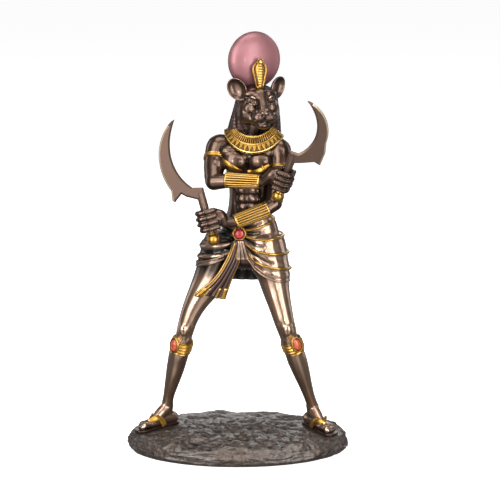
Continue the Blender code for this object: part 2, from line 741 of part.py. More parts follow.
# The swords. Each blade is an arc about a centre given from its shoulder, in the sword's own plane.
swords = {
    "left": {"centre": (-19.2, 22.6), "inner": 31.2, "tip": 33.7, "bulge": 9.4, "from": -41.9, "to": 48.4,
             "outer_from": 0.16, "flank": (19.2, -3.0), "spur": (17.8, -4.8), "notch": (12.1, -0.6),
             "under": (9.8, -2.9), "arm_low": -6.9},
    "right": {"centre": (-10.6, 14.4), "inner": 20.2, "tip": 24.1, "bulge": 6.2, "from": -47.4, "to": 71.5,
              "outer_from": 0.36, "flank": (19.8, 4.8), "spur": (19.4, -5.2), "notch": (15.0, -3.8),
              "under": (8.5, -6.4), "arm_low": -8.4},
}


def sword_outline(sword):
    """The blade's outline: shoulder, inner edge to the tip, outer edge to the spur, arm and shaft."""
    steps = 9

    def at(share, radius):
        turn = math.radians(sword["from"] + (sword["to"] - sword["from"]) * share)
        return (sword["centre"][0] + radius * math.cos(turn), sword["centre"][1] + radius * math.sin(turn))

    half = shaft_width / unit / 2
    stem = shaft_length / unit
    outline = [(-half, 0.0)]
    for i in range(steps):
        share = i / steps
        outline.append(at(share, sword["inner"] + (sword["tip"] - sword["inner"]) * share**5))
    outline.append(at(1.0, sword["tip"]))
    for i in range(1, steps):
        share = 1 - (1 - sword["outer_from"]) * i / (steps - 1)
        outline.append(at(share, sword["tip"] + sword["bulge"] * (1 - share) ** 0.65))
    outline += [sword["flank"], sword["spur"], sword["notch"], sword["under"], (half, sword["arm_low"]),
                (half, -stem), (-half, -stem)]
    return outline


def khopesh(side, material):
    """A sickle sword: bevelled blade, round grip and ball pommel."""
    name = f"khopesh_{side}"
    frame = hands[side] @ Matrix.Translation((0, 0, blade_rise))
    faces = []
    bm = bmesh.new()
    edge = [bm.verts.new(Vector((x * unit, 0, z * unit))) for x, z in sword_outline(swords[side])]
    for verts in (edge, list(reversed(edge))):
        faces.append(bm.faces.new(verts))
        bm.normal_update()
        bmesh.ops.inset_region(bm, faces=[faces[-1]], thickness=blade_bevel, depth=blade_thickness / 2,
                               use_even_offset=True, use_boundary=True)
    bmesh.ops.triangulate(bm, faces=bm.faces)
    bmesh.ops.transform(bm, matrix=frame, verts=bm.verts)
    blade = new_object(name, mesh_from(bm, name), model, material)
    low = -pommel_drop
    grip = rod(f"{name}_grip", hands[side], (grip_radius, grip_radius), low, blade_rise - 0.003)
    pommel = ball(f"{name}_pommel", hands[side] @ Matrix.Translation((0, 0, low)), [pommel_radius] * 3, 12)
    boolean(blade, grip, "UNION")
    boolean(blade, pommel, "UNION")
    return blade


def grip_cutters(side):
    """The room a sword needs in the fist that holds it."""
    name = f"khopesh_{side}"
    frame = hands[side]
    bore = grip_radius + touch_gap
    round_part = rod(f"{name}_bore", frame, (bore, bore), -0.0125, 0.0125)
    wide, thick = shaft_width + 2 * touch_gap, blade_thickness + 2 * touch_gap
    low = blade_rise - shaft_length - touch_gap
    flat_part = block(f"{name}_slot", frame, (wide, thick, 0.024 - low), low)
    knob = ball(f"{name}_knob", frame @ Matrix.Translation((0, 0, -pommel_drop)),
                [pommel_radius + touch_gap] * 3, 12)
    return round_part, flat_part, knob


# The sun disc and the rock

def disc_frame():
    crown = 14.4 * unit
    middle = Matrix.Translation(Vector((0, 6.4 * unit, crown + disc_radius - disc_sink)))
    return head_frame @ middle @ Matrix.Rotation(disc_yaw - head_yaw, 4, "Z")


def rock_top(x, y):
    """Height of the rock's top, level under the feet."""
    wave = noise.fractal(Vector((x * 42 + 2, y * 66, 3.1)), 0.8, 2.1, 3) * 1.5
    steps = math.floor(wave * 2 + 0.5) / 2
    level = rock_height + rock_relief * (0.6 * steps + 0.4 * wave) - 0.0004
    for foot in feet.values():
        frame = foot_frame(foot)
        heel, toe = frame.translation.to_2d(), (frame @ Vector((27 * unit, 0, 0))).to_2d()
        along = toe - heel
        share = min(1, max(0, (Vector((x, y)) - heel).dot(along) / along.length_squared))
        away = (Vector((x, y)) - heel - along * share).length
        keep = float(smoothstep(0.0085, 0.0125, away))
        level = rock_height * (1 - keep) + level * keep
    return level


def rock_base(material):
    around = 36
    sides = [(0.90, 0.0), (0.965, 0.0012), (0.995, 0.0036), (1.0, 0.0062), (0.985, 0.0086), (0.965, 0.0106),
             (0.93, None), (0.86, None), (0.77, None), (0.67, None), (0.56, None), (0.44, None),
             (0.31, None), (0.17, None)]
    bm = bmesh.new()
    rows = []
    for share, level in sides:
        row = []
        for i in range(around):
            turn = 2 * math.pi * i / around
            across, along = math.cos(turn), math.sin(turn)
            spot = Vector((across * 2.6, along * 2.6, (level or 0.012) * 260))
            crag = 0.02 * noise.fractal(spot, 0.8, 2.0, 3) if share > 0.9 else 0
            reach = share + (crag if level != 0.0 else 0)
            x, y = reach * across * rock_length / 2, reach * along * rock_depth / 2
            z = level if level is not None else rock_top(x, y) - (0.0006 if share > 0.9 else 0)
            row.append(bm.verts.new((x, y, z)))
        rows.append(row)
    for low, high in zip(rows, rows[1:]):
        for i in range(around):
            j = (i + 1) % around
            bm.faces.new((low[i], low[j], high[j], high[i]))
    bm.faces.new(rows[0])
    middle = bm.verts.new((0, 0, rock_top(0, 0)))
    for i in range(around):
        bm.faces.new((rows[-1][i], rows[-1][(i + 1) % around], middle))
    for axis, size in ((0, rock_length), (1, rock_depth)):
        places = [vert.co[axis] for vert in bm.verts]
        low, high = min(places), max(places)
        for vert in bm.verts:
            vert.co[axis] = ((vert.co[axis] - low) / (high - low) - 0.5) * size
    return new_object("rock_base", mesh_from(bm, "rock_base"), model, material)


def floor_cutter():
    """All that is lower than the soles."""
    low, high = -0.01, rock_height + touch_gap
    return block("floor", Matrix(), (2 * rock_length, 2 * rock_length, high - low), low)


def garters():
    made = []
    for name, path, centre, radii in (
        ("right", ((-36.4, -2.4, 65.5), (-39.2, 0.6, 55.2)), (-37.8, -0.9, 60.4), (6.3, 6.3)),
        ("left", ((35.6, -9.4, 67.6), (39.2, -6.0, 57.0)), (37.3, -7.8, 62.2), (6.2, 6.2)),
    ):
        axis = place(*path[1]) - place(*path[0])
        made.append(ringed_band(f"garter_{name}", place(*centre), axis, radii, garter_profile))
    return made


def armlets():
    made = []
    for name, centre, toward, radius in (
        ("right", (-14.6, -0.6, 188.2), (-15.4, -4.9, 182.6), 6.9),
        ("left", (28.4, -5.2, 183.4), (27.2, -7.4, 174.5), 6.5),
    ):
        axis = place(*toward) - place(*centre)
        made.append(ringed_band(f"armlet_{name}", place(*centre), axis, (radius, radius), armlet_profile, 14))
    return made


def main():
    clear_scene()
    bronze = finish("dark_bronze", (0.21, 0.14, 0.11), 0.35, 0.9)
    stone_grey = finish("bronzed_rock", (0.16, 0.13, 0.11), 0.6, 0.4)
    pink = finish("satin_pink", (0.55, 0.24, 0.26), 0.4, 0.2)
    brown = finish("brown_blade", (0.25, 0.17, 0.13), 0.4, 0.8)
    red = finish("red_stone", (0.55, 0.04, 0.03), 0.15, 0.0)

    torso = body_skin((torso_masses, neck_masses, leg_masses), "torso")
    points, _ = skin_arrays(torso)
    torso_tree = BVHTree.FromPolygons(points.tolist(), [tuple(p.vertices) for p in torso.polygons])

    skin = whole_skin()
    carve(skin, torso_tree)
    figure = new_object("figure", skin, model, bronze)
    thin = figure.modifiers.new("thin out", "DECIMATE")
    thin.ratio = skin_triangles / (2 * len(skin.polygons))

    overlays = [
        collar(torso_tree),
        bracer("bracer_right", place(-7.6, -16.1, 176.2), place(15.4, -21.2, 176.0), 5.3, 4.5),
        bracer("bracer_left", place(20.6, -13.6, 156.4), place(-1.6, -18.6, 148.6), 5.7, 4.7),
        *garters(),
        *armlets(),
        pleated_cloth("long_sash", [(0.6, -10.4, 134, 2.4, 0), (-2.6, -11.6, 122, 4.4, 0.2),
                                    (-9.2, -11.4, 109.5, 6.0, 0.4), (-18.0, -10.6, 97.2, 10.0, -1.4)], 4, 1.3),
        pleated_cloth("short_sash", [(2.4, -12.0, 135, 1.8, 0), (3.2, -13.2, 129, 2.9, 0),
                                     (4.0, -13.6, 122.4, 4.4, 0)], 3, 1.0),
        back_cloth(),
        cobra(),
        cobra_face(),
    ]
    for side, foot in feet.items():
        overlays.append(sole_slab(f"sole_{side}", foot, -0.001, sole_thickness))
    for name, (frame, radii) in jewels.items():
        overlays.append(bezel(name, frame, radii))
    for overlay in overlays:
        boolean(figure, overlay, "UNION")

    seat_frame = disc_frame()
    grown = (disc_radius + touch_gap, disc_thickness / 2 + touch_gap, disc_radius + touch_gap)
    cutters = [ball("disc_seat", seat_frame, grown, 20), floor_cutter()]
    for side in hands:
        cutters += grip_cutters(side)
    for name, (frame, radii) in jewels.items():
        cutters.append(stone_pocket(name, frame, radii))
    for cutter in cutters:
        boolean(figure, cutter, "DIFFERENCE")
    flat = figure.modifiers.new("merge flat faces", "DECIMATE")
    flat.decimate_type = "DISSOLVE"
    flat.angle_limit = math.radians(5)

    ball("sun_disc", seat_frame, (disc_radius, disc_thickness / 2, disc_radius), 20, model, pink)
    for side in hands:
        khopesh(side, brown)
    for name, (frame, radii) in jewels.items():
        stone(name, frame, radii, red)
    rock_base(stone_grey)


main()
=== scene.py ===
import json
import math

import bmesh
import bpy
import numpy as np
from mathutils import Euler, Matrix, Vector, noise
from mathutils.bvhtree import BVHTree

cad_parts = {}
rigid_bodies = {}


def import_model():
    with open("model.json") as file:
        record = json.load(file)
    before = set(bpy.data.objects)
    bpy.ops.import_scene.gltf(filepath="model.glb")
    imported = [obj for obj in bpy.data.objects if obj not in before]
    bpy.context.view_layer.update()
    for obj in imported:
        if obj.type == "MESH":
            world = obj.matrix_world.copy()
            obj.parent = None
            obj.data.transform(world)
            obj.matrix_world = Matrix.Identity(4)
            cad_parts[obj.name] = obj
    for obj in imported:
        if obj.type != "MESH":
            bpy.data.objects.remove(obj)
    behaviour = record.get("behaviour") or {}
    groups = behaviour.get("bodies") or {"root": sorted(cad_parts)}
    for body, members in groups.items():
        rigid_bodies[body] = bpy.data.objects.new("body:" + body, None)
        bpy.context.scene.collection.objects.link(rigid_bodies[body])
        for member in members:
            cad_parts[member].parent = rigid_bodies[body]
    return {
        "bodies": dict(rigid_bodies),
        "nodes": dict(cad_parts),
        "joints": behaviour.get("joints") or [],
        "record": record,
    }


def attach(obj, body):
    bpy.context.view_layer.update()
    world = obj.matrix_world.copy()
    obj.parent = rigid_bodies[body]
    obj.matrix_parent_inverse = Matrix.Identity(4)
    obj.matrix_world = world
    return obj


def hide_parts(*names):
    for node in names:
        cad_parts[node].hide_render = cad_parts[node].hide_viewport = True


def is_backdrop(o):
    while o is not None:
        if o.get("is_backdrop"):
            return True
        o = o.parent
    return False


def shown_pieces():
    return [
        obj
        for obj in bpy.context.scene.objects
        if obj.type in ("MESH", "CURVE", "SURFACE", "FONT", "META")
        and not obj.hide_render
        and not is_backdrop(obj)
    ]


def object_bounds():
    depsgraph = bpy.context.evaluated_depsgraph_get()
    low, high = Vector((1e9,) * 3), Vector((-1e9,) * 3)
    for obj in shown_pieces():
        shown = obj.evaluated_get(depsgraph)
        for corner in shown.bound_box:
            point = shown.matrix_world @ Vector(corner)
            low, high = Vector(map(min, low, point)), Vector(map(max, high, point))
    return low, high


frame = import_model()
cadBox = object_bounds()
print("frame loaded")

figureSize = {"height": 0.2372, "rockTop": 0.013, "soleThickness": 0.0018}
unit = figureSize["height"] / 237.2  # the pose is written in these, 237.2 to the figure's height
turns = {"body": -12, "head": 18, "disc": 25}
bodyTurn = Matrix.Rotation(math.radians(turns["body"]), 4, "Z")
collection = bpy.data.collections.new("lionGoddess")
bpy.context.scene.collection.children.link(collection)


def place(x, y, z):
    return Vector((x * unit, y * unit, figureSize["rockTop"] + z * unit))


finishes = {
    "skinBronze": {"recess": (0.005, 0.003, 0.002), "body": (0.068, 0.039, 0.026), "rubbed": (0.42, 0.29, 0.21),
                   "roughness": 0.20, "metallic": 0.95, "coat": 0.25, "grainSize": 260, "grain": 0.06, "bump": 0.04},
    # A lighter copy of skinBronze: painted light standing for the bright highlights on the face.
    "faceBronze": {"recess": (0.006, 0.004, 0.003), "body": (0.086, 0.051, 0.036), "rubbed": (0.58, 0.42, 0.31),
                   "roughness": 0.20, "metallic": 0.95, "coat": 0.25, "grainSize": 260, "grain": 0.05, "bump": 0.03},
    "hairBronze": {"recess": (0.005, 0.003, 0.003), "body": (0.050, 0.027, 0.022), "rubbed": (0.20, 0.13, 0.10),
                   "roughness": 0.33, "metallic": 0.9, "coat": 0.25, "grainSize": 300, "grain": 0.10, "bump": 0.06},
    "kiltBronze": {"recess": (0.006, 0.005, 0.004), "body": (0.255, 0.165, 0.115), "rubbed": (0.60, 0.46, 0.37),
                   "roughness": 0.19, "metallic": 0.95, "coat": 0.4, "grainSize": 220, "grain": 0.07, "bump": 0.04},
    # Near-black bronze: painted shade for the back cloth behind the legs.
    "shadeBronze": {"recess": (0.004, 0.003, 0.003), "body": (0.012, 0.010, 0.009), "rubbed": (0.07, 0.055, 0.05),
                    "roughness": 0.45, "metallic": 0.8, "coat": 0.0, "grainSize": 240, "grain": 0.12, "bump": 0.05},
    "antiqueGold": {"recess": (0.028, 0.011, 0.002), "body": (0.30, 0.160, 0.024), "rubbed": (0.70, 0.47, 0.15),
                    "roughness": 0.26, "metallic": 0.97, "coat": 0.25, "grainSize": 330, "grain": 0.12, "bump": 0.05},
    "bladeBronze": {"recess": (0.02, 0.013, 0.010), "body": (0.105, 0.065, 0.048), "rubbed": (0.22, 0.15, 0.115),
                    "roughness": 0.36, "metallic": 0.85, "coat": 0.15, "grainSize": 150, "grain": 0.14, "bump": 0.05},
    "rubbedEdge": {"recess": (0.12, 0.085, 0.06), "body": (0.47, 0.37, 0.27), "rubbed": (0.66, 0.54, 0.42),
                   "roughness": 0.36, "metallic": 0.85, "coat": 0.15, "grainSize": 260, "grain": 0.3, "bump": 0.06},
    "rockBronze": {"recess": (0.007, 0.005, 0.004), "body": (0.060, 0.045, 0.037), "rubbed": (0.34, 0.285, 0.245),
                   "roughness": 0.28, "metallic": 0.75, "coat": 0.3, "grainSize": 190, "grain": 0.24, "bump": 1.0,
                   "crest": 0.76, "depth": 0.0030},
}


metalLook = {"dark": 0.12, "base": 0.42, "crest": 0.60, "bright": 0.95, "roughLevels": (0.1, 0.8), "roughest": 0.8,
             "cloudShare": 0.22, "coatRoughness": 0.14, "depth": 0.0004}
paints = {
    "satinPink": {"low": (0.160, 0.063, 0.070), "high": (0.210, 0.088, 0.094),
                  "roughness": 0.47, "coat": 0.1, "metallic": 0.6, "cloudSize": 40},
    "crimsonStone": {"low": (0.12, 0.003, 0.006), "high": (0.26, 0.007, 0.012),
                     "roughness": 0.30, "coat": 0.15, "metallic": 0.0, "cloudSize": 500},
    "orangeStone": {"low": (0.15, 0.014, 0.004), "high": (0.30, 0.045, 0.010),
                    "roughness": 0.30, "coat": 0.15, "metallic": 0.0, "cloudSize": 500},
}


def blankMaterial(name):
    material = bpy.data.materials.new(name)
    material.use_nodes = True
    return material, material.node_tree, material.node_tree.nodes["Principled BSDF"]


def setInputs(tree, node, inputs):
    # Links what comes out of another node, and sets a plain value.
    for name, value in inputs.items():
        if isinstance(value, bpy.types.NodeSocket):
            tree.links.new(value, node.inputs[name])
        else:
            node.inputs[name].default_value = value


def addNode(tree, kind, inputs, operation=None):
    node = tree.nodes.new(kind)
    if operation:
        node.operation = operation
    setInputs(tree, node, inputs)
    return node


def addNoise(tree, where, scale, detail):
    return addNode(tree, "ShaderNodeTexNoise", {"Vector": where, "Scale": scale, "Detail": detail}).outputs["Fac"]


def addBump(tree, height, strength, distance):
    bump = addNode(tree, "ShaderNodeBump", {"Strength": strength, "Distance": distance, "Height": height})
    return bump.outputs["Normal"]


def colourRamp(tree, level, stops):
    # The colour at a level, from stops of a position and a colour.
    ramp = addNode(tree, "ShaderNodeValToRGB", {"Fac": level})
    elements = ramp.color_ramp.elements
    while len(elements) < len(stops):
        elements.new(1.0)
    for element, (position, colour) in zip(elements, stops):
        element.position = position
        element.color = (*colour, 1)
    return ramp.outputs["Color"]


def metalMaterial(name, values):
    # An antique metal: dark in the recesses and rubbed bright on what stands proud, and darker where shade is painted
    # into the wear marks.
    material, tree, shader = blankMaterial(name)
    where = addNode(tree, "ShaderNodeTexCoord", {}).outputs["Object"]
    wearAndShade = addNode(tree, "ShaderNodeAttribute", {})
    wearAndShade.attribute_name = "wearAndShade"
    speck = addNoise(tree, where, values["grainSize"], 5)
    cloud = addNoise(tree, where, values["grainSize"] * metalLook["cloudShare"], 3)
    both = addNode(tree, "ShaderNodeMath", {0: speck, 1: cloud}, "ADD").outputs[0]
    spread = {0: both, 1: values["grain"], 2: -values["grain"]}  # noise about zero, scaled by grain
    shift = addNode(tree, "ShaderNodeMath", spread, "MULTIPLY_ADD").outputs[0]
    total = addNode(tree, "ShaderNodeMath", {0: wearAndShade.outputs["Fac"], 1: shift}, "ADD").outputs[0]
    colour = colourRamp(tree, total, [
        (metalLook["dark"], values["recess"]), (metalLook["base"], values["body"]),
        (values.get("crest", metalLook["crest"]), values["body"]), (metalLook["bright"], values["rubbed"])])
    low, high = metalLook["roughLevels"]
    rough = addNode(tree, "ShaderNodeMapRange", {
        "Value": total, "From Min": low, "From Max": high,
        "To Min": min(metalLook["roughest"], values["roughness"] + 0.25), "To Max": values["roughness"]})
    setInputs(tree, shader, {
        "Base Color": colour, "Roughness": rough.outputs["Result"], "Metallic": values["metallic"],
        "Coat Weight": values["coat"], "Coat Roughness": metalLook["coatRoughness"],
        "Normal": addBump(tree, speck, values["bump"], values.get("depth", metalLook["depth"]))})
    return material


def paintMaterial(name, values):
    # A smooth paint that clouds slightly between two tones.
    material, tree, shader = blankMaterial(name)
    where = addNode(tree, "ShaderNodeTexCoord", {}).outputs["Object"]
    cloud = addNoise(tree, where, values["cloudSize"], 4)
    setInputs(tree, shader, {
        "Base Color": colourRamp(tree, cloud, [(0.3, values["low"]), (0.7, values["high"])]),
        "Roughness": values["roughness"], "Metallic": values["metallic"], "Coat Weight": values["coat"],
        "Coat Roughness": 0.12, "Normal": addBump(tree, cloud, 0.04, 0.0003)})
    return material


materials = {name: metalMaterial(name, values) for name, values in finishes.items()}
materials.update({name: paintMaterial(name, values) for name, values in paints.items()})
print("materials made")


def applyModifiers(obj):
    bpy.context.view_layer.update()
    graph = bpy.context.evaluated_depsgraph_get()
    mesh = bpy.data.meshes.new_from_object(obj.evaluated_get(graph))
    obj.modifiers.clear()
    obj.data = mesh


def pointsOf(mesh):
    points = np.empty(len(mesh.vertices) * 3)
    mesh.vertices.foreach_get("co", points)
    normals = np.empty(len(mesh.vertices) * 3)
    mesh.vertices.foreach_get("normal", normals)
    return points.reshape(-1, 3), normals.reshape(-1, 3)


def setPoints(mesh, points):
    mesh.vertices.foreach_set("co", points.ravel())
    mesh.update()


def levelled(mesh, points, rounds, share=0.6):
    # Draws each point towards the middle of its neighbours.
    ends = np.empty(len(mesh.edges) * 2, np.int32)
    mesh.edges.foreach_get("vertices", ends)
    first, second = ends.reshape(-1, 2).T
    count = len(points)
    degree = np.maximum(np.bincount(first, minlength=count) + np.bincount(second, minlength=count), 1)
    level = points.copy()
    for _ in range(rounds):
        for axis in range(3):
            near = (np.bincount(first, level[second, axis], count)
                    + np.bincount(second, level[first, axis], count)) / degree
            level[:, axis] = (1 - share) * level[:, axis] + share * near
    return level


def markWear(mesh, reach, rounds=10):
    # Marks how far each point stands proud of its surroundings, 0.5 where level.
    points, normals = pointsOf(mesh)
    proud = ((points - levelled(mesh, points, rounds)) * normals).sum(1)
    proud -= np.median(proud)  # a round limb is level too
    value = np.clip(0.5 + np.where(proud < 0, 0.5, 0.3) * proud / reach, 0, 1)
    attribute = mesh.attributes.get("wearAndShade") or mesh.attributes.new("wearAndShade", "FLOAT", "POINT")
    attribute.data.foreach_set("value", value.astype(np.float32))


def finishPiece(obj, finish, reach=0.0003, rounds=10, sharp=None, extra=()):
    # Gives the finish, marks the wear, and rides on the root.
    mesh = obj.data
    if mesh.materials:  # clearing an empty list would reset each face's finish too
        mesh.materials.clear()
    for name in (finish, *extra):
        mesh.materials.append(materials[name])
    mesh.shade_smooth()
    if sharp:
        mesh.set_sharp_from_angle(angle=math.radians(sharp))
    markWear(mesh, reach, rounds)
    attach(obj, "root")


def poseOf(points):
    # Places in the pose's own units, up from the rock.
    return (points - np.array((0, 0, figureSize["rockTop"]))) / unit


def shade(obj, measure):
    # Darkens the wear marks by a share that depends on the place: painted shade where the share follows the place, a
    # darker tone where it is even.
    points, _ = pointsOf(obj.data)
    attribute = obj.data.attributes["wearAndShade"]
    level = np.empty(len(points), np.float32)
    attribute.data.foreach_get("value", level)
    level = np.clip(level - measure(*poseOf(points).T), 0, 1)
    attribute.data.foreach_set("value", level.astype(np.float32))


def wearBy(obj, measure):
    # Sets the wear that a shape knows of itself, by the place of each point.
    points, _ = pointsOf(obj.data)
    level = np.clip([measure(Vector(point)) for point in points], 0, 1)
    obj.data.attributes["wearAndShade"].data.foreach_set("value", level.astype(np.float32))


def newPiece(name, bm):
    mesh = bpy.data.meshes.new(name)
    bm.to_mesh(mesh)
    bm.free()
    obj = bpy.data.objects.new(name, mesh)
    collection.objects.link(obj)
    return obj


def smoothPath(keys, steps):
    # Points on a smooth curve through the keys, whatever each key holds.
    keys = [np.array(key, float) for key in keys]
    ends = [2 * keys[0] - keys[1], *keys, 2 * keys[-1] - keys[-2]]
    path = []
    for a, b, c, d in zip(ends, ends[1:], ends[2:], ends[3:]):
        for step in range(steps):
            t = step / steps
            path.append(0.5 * (2 * b + (c - a) * t + (2 * a - 5 * b + 4 * c - d) * t**2
                               + (3 * b - a - 3 * c + d) * t**3))
    return [*path, keys[-1]]


def frameAlong(start, end, side=Vector((0, 0, 1))):
    # A frame at the start, with its z axis towards the end.
    z = (end - start).normalized()
    x = (side - z * side.dot(z)).normalized()
    return Matrix.Translation(start) @ Matrix((x, z.cross(x), z)).transposed().to_4x4()


def onRing(u, radiusX, radiusY, z=0.0):
    turn = 2 * math.pi * u
    return Vector((radiusX * math.cos(turn), radiusY * math.sin(turn), z))


def giveWall(obj, thickness, offset=-1):
    # Turns a surface into a closed wall.
    wall = obj.modifiers.new("wall", "SOLIDIFY")
    wall.thickness = thickness
    wall.offset = offset
    applyModifiers(obj)


def sheetPiece(name, columns, rows, shape, closed=False, thickness=0.0):
    # A grid whose points are moved by shape(u, v); a closed one joins u = 1 to u = 0.
    bm = bmesh.new()
    bmesh.ops.create_grid(bm, x_segments=columns, y_segments=rows, size=0.5)
    for vert in bm.verts:
        vert.co = shape(vert.co.x + 0.5, vert.co.y + 0.5)
    bmesh.ops.remove_doubles(bm, verts=bm.verts, dist=1e-6)
    if closed:
        bmesh.ops.recalc_face_normals(bm, faces=bm.faces)
    made = newPiece(name, bm)
    if thickness:
        giveWall(made, thickness, 0)
    return made


def tubePiece(name, line, radius, sides=10, taper=0.0, flat=1.0):
    # A closed round bar along a line; taper is how much its ends thin.
    points = [Vector(point) for point in line]
    last = len(points) - 1
    frames = []
    side = Vector((0.13, 0.2, 1)).normalized()
    for i, point in enumerate(points):
        ahead = points[min(i + 1, last)] - points[max(i - 1, 0)]
        turned = frameAlong(point, point + ahead, side)
        side = turned.to_3x3().col[0]
        frames.append(turned)

    def shape(u, v):
        i = round(v * (last + 2)) - 1  # the first and last rings close the ends
        at = min(max(i, 0), last)
        thick = radius * (1 - taper * abs(2 * (at / last) - 1) ** 2) if i == at else 0.0
        return frames[at] @ onRing(u, thick, flat * thick)

    return sheetPiece(name, sides, last + 2, shape, closed=True)


def joined(name, objects):
    # One piece from several.
    bm = bmesh.new()
    for obj in objects:
        bm.from_mesh(obj.data)
        bpy.data.objects.remove(obj)
    return newPiece(name, bm)


ballBm = bmesh.new()
bmesh.ops.create_uvsphere(ballBm, u_segments=16, v_segments=10, radius=1.0)
ballMesh = bpy.data.meshes.new("ball")
ballBm.to_mesh(ballMesh)
ballBm.free()


def egg(clay, centre, radii, turn=Matrix()):
    size = Matrix.Diagonal((*(r * unit for r in radii), 1))
    clay.append(Matrix.Translation(centre) @ turn @ size)


def limb(clay, keys, turn=Matrix(), steps=8, where=None):
    # Balls along a path; each key is a place and one radius or three.
    full = [key if len(key) == 6 else (*key, key[3], key[3]) for key in keys]
    for x, y, z, rx, ry, rz in smoothPath(full, steps):
        centre = place(x, y, z) if where is None else where @ (Vector((x, y, z)) * unit)
        egg(clay, centre, (rx, ry, rz), turn)


def skinOf(name, clay, grain, blend=4, shaped=()):
    # One skin over all the balls, and over any ready-made meshes.
    bm = bmesh.new()
    for matrix in clay:
        copy = ballMesh.copy()
        copy.transform(matrix)
        bm.from_mesh(copy)
        bpy.data.meshes.remove(copy)
    for mesh in shaped:
        bm.from_mesh(mesh)
    obj = newPiece(name, bm)
    remesh = obj.modifiers.new("oneSkin", "REMESH")
    remesh.mode = "VOXEL"
    remesh.voxel_size = grain * unit
    soften = obj.modifiers.new("blend", "SMOOTH")
    soften.factor = 0.5
    soften.iterations = blend
    applyModifiers(obj)
    return obj


def treeOf(mesh):
    points, _ = pointsOf(mesh)
    return BVHTree.FromPolygons(points.tolist(), [tuple(p.vertices) for p in mesh.polygons])


def stroke(points, normals, line, width, height, sharpness=1.5):
    # Lifts or sinks the skin along a line of points.
    line = np.array([tuple(point) for point in line])
    reach = width * unit
    near = np.where(((points > line.min(0) - reach) & (points < line.max(0) + reach)).all(1))[0]
    if len(near) == 0:
        return
    spots = points[near]
    best = np.full(len(near), np.inf)
    for a, b in zip(line[:-1], line[1:]):
        along = b - a
        t = np.clip((spots - a) @ along / max(along @ along, 1e-12), 0, 1)
        best = np.minimum(best, np.linalg.norm(spots - a - t[:, None] * along, axis=1))
    lift = height * unit * np.clip(1 - (best / reach) ** 2, 0, 1) ** sharpness
    points[near] += normals[near] * lift[:, None]


def sculpt(obj, strokes):
    # Each stroke is a line of points, its width and its height.
    points, normals = pointsOf(obj.data)
    for line, width, height in strokes:
        if len(line) > 1:
            stroke(points, normals, line, width, height)
    setPoints(obj.data, points)


def smoothstep(low, high, value):
    t = np.clip((value - low) / (high - low), 0, 1)
    return t * t * (3 - 2 * t)


torso = {
    "trunk": [(5.5, 4, 121, 16, 12, 9), (6, 3.5, 134, 17, 12, 8), (6.8, 3, 144, 16.6, 10.6, 7),
              (7.6, 3, 151, 14.8, 9.6, 6), (8.0, 2.7, 158, 14.0, 9, 7), (8.4, 2.5, 166, 14.2, 9, 7),
              (8.4, 2.5, 176, 15.6, 10, 7), (8.3, 2.2, 184, 17, 10.6, 7), (8.8, 2.8, 190, 17.2, 9.5, 6),
              (9.8, 3.5, 196, 12, 7.5, 4)],
    "shoulders": [(-10, 4.5, 197, 6.0), (0, 4.5, 199.5, 5.6), (9.9, 4.5, 200, 6.2), (19, 2.5, 198.2, 5.4),
                  (26, -0.5, 195, 5.8)],
    "breasts": [(-1.6, -6.2, 187.0), (14.8, -8.0, 187.0)],
    "breastRadii": (8.8, 4.9, 7.6),
    "neck": [(9.9, 4.5, 196, 7.6), (10.6, 4, 204, 6.2), (12, 3, 212, 6.4), (13, 3, 219, 7)],
    "hips": [((-9, 5, 125), (13.5, 12.5, 14.5)), ((19.4, 3.5, 126.5), (13.5, 12.5, 14.5)),
             ((17.0, 3, 138), (10.4, 10.2, 12)), ((-3, 11, 126), (10, 8.5, 11)), ((15.5, 8.5, 126), (10, 8.5, 11))],
    "muscles": [((-17.2, -0.6, 188.5), (4.6, 5.2, 7.0)), ((-13.2, -5.8, 183.4), (5.2, 5.4, 8.0)),
                ((-18.6, -9.0, 177.8), (3.2, 4.2, 4.6)), ((30.6, -5.6, 187.5), (4.6, 4.6, 6.6)),
                ((-4.5, -3.4, 193.5), (8.0, 5.2, 4.8)), ((18.6, -5.4, 192.5), (7.6, 5.2, 4.8)),
                ((6.8, -4.8, 191.0), (9.0, 4.6, 5.0))],
    "abdomen": [(3.6, -4.4, 167.2), (11.2, -5.4, 167.2), (3.9, -4.4, 161.2), (11.2, -5.4, 161.2),
                (4.4, -4.4, 155.6), (11.0, -5.4, 155.6)],
    "abdomenRadii": (4.3, 1.9, 3.5),
    "creases": [  # x and z keys on the front, with a width and a height
        ([(7.4, 176), (7.5, 168), (7.6, 160), (7.8, 150)], 1.3, -0.35),
        ([(-0.4, 175), (-1.2, 167), (-0.9, 158), (0.6, 150)], 2.0, -0.35),
        ([(15.4, 175), (16.2, 167), (15.6, 158), (14.0, 150)], 2.0, -0.35),
        ([(-0.6, 164.2), (7.5, 164.6), (15.8, 164.2)], 1.1, -0.3),
        ([(-0.6, 158.4), (7.6, 158.6), (15.2, 158.4)], 1.1, -0.3),
        ([(-4.6, 174.0), (0.5, 171.2), (7.5, 174.6), (13.5, 171.2), (18.6, 174.0)], 1.4, -0.3),
        ([(6.9, 194), (7.0, 188), (7.2, 180)], 1.5, -0.3),
        ([(-10.0, 196.8), (-2, 197.6), (4.0, 196.0)], 1.4, 0.5),
        ([(15.4, 196.4), (20.0, 196.8), (26.0, 194.8)], 1.4, 0.5),
    ],
    "grain": 0.56,
}
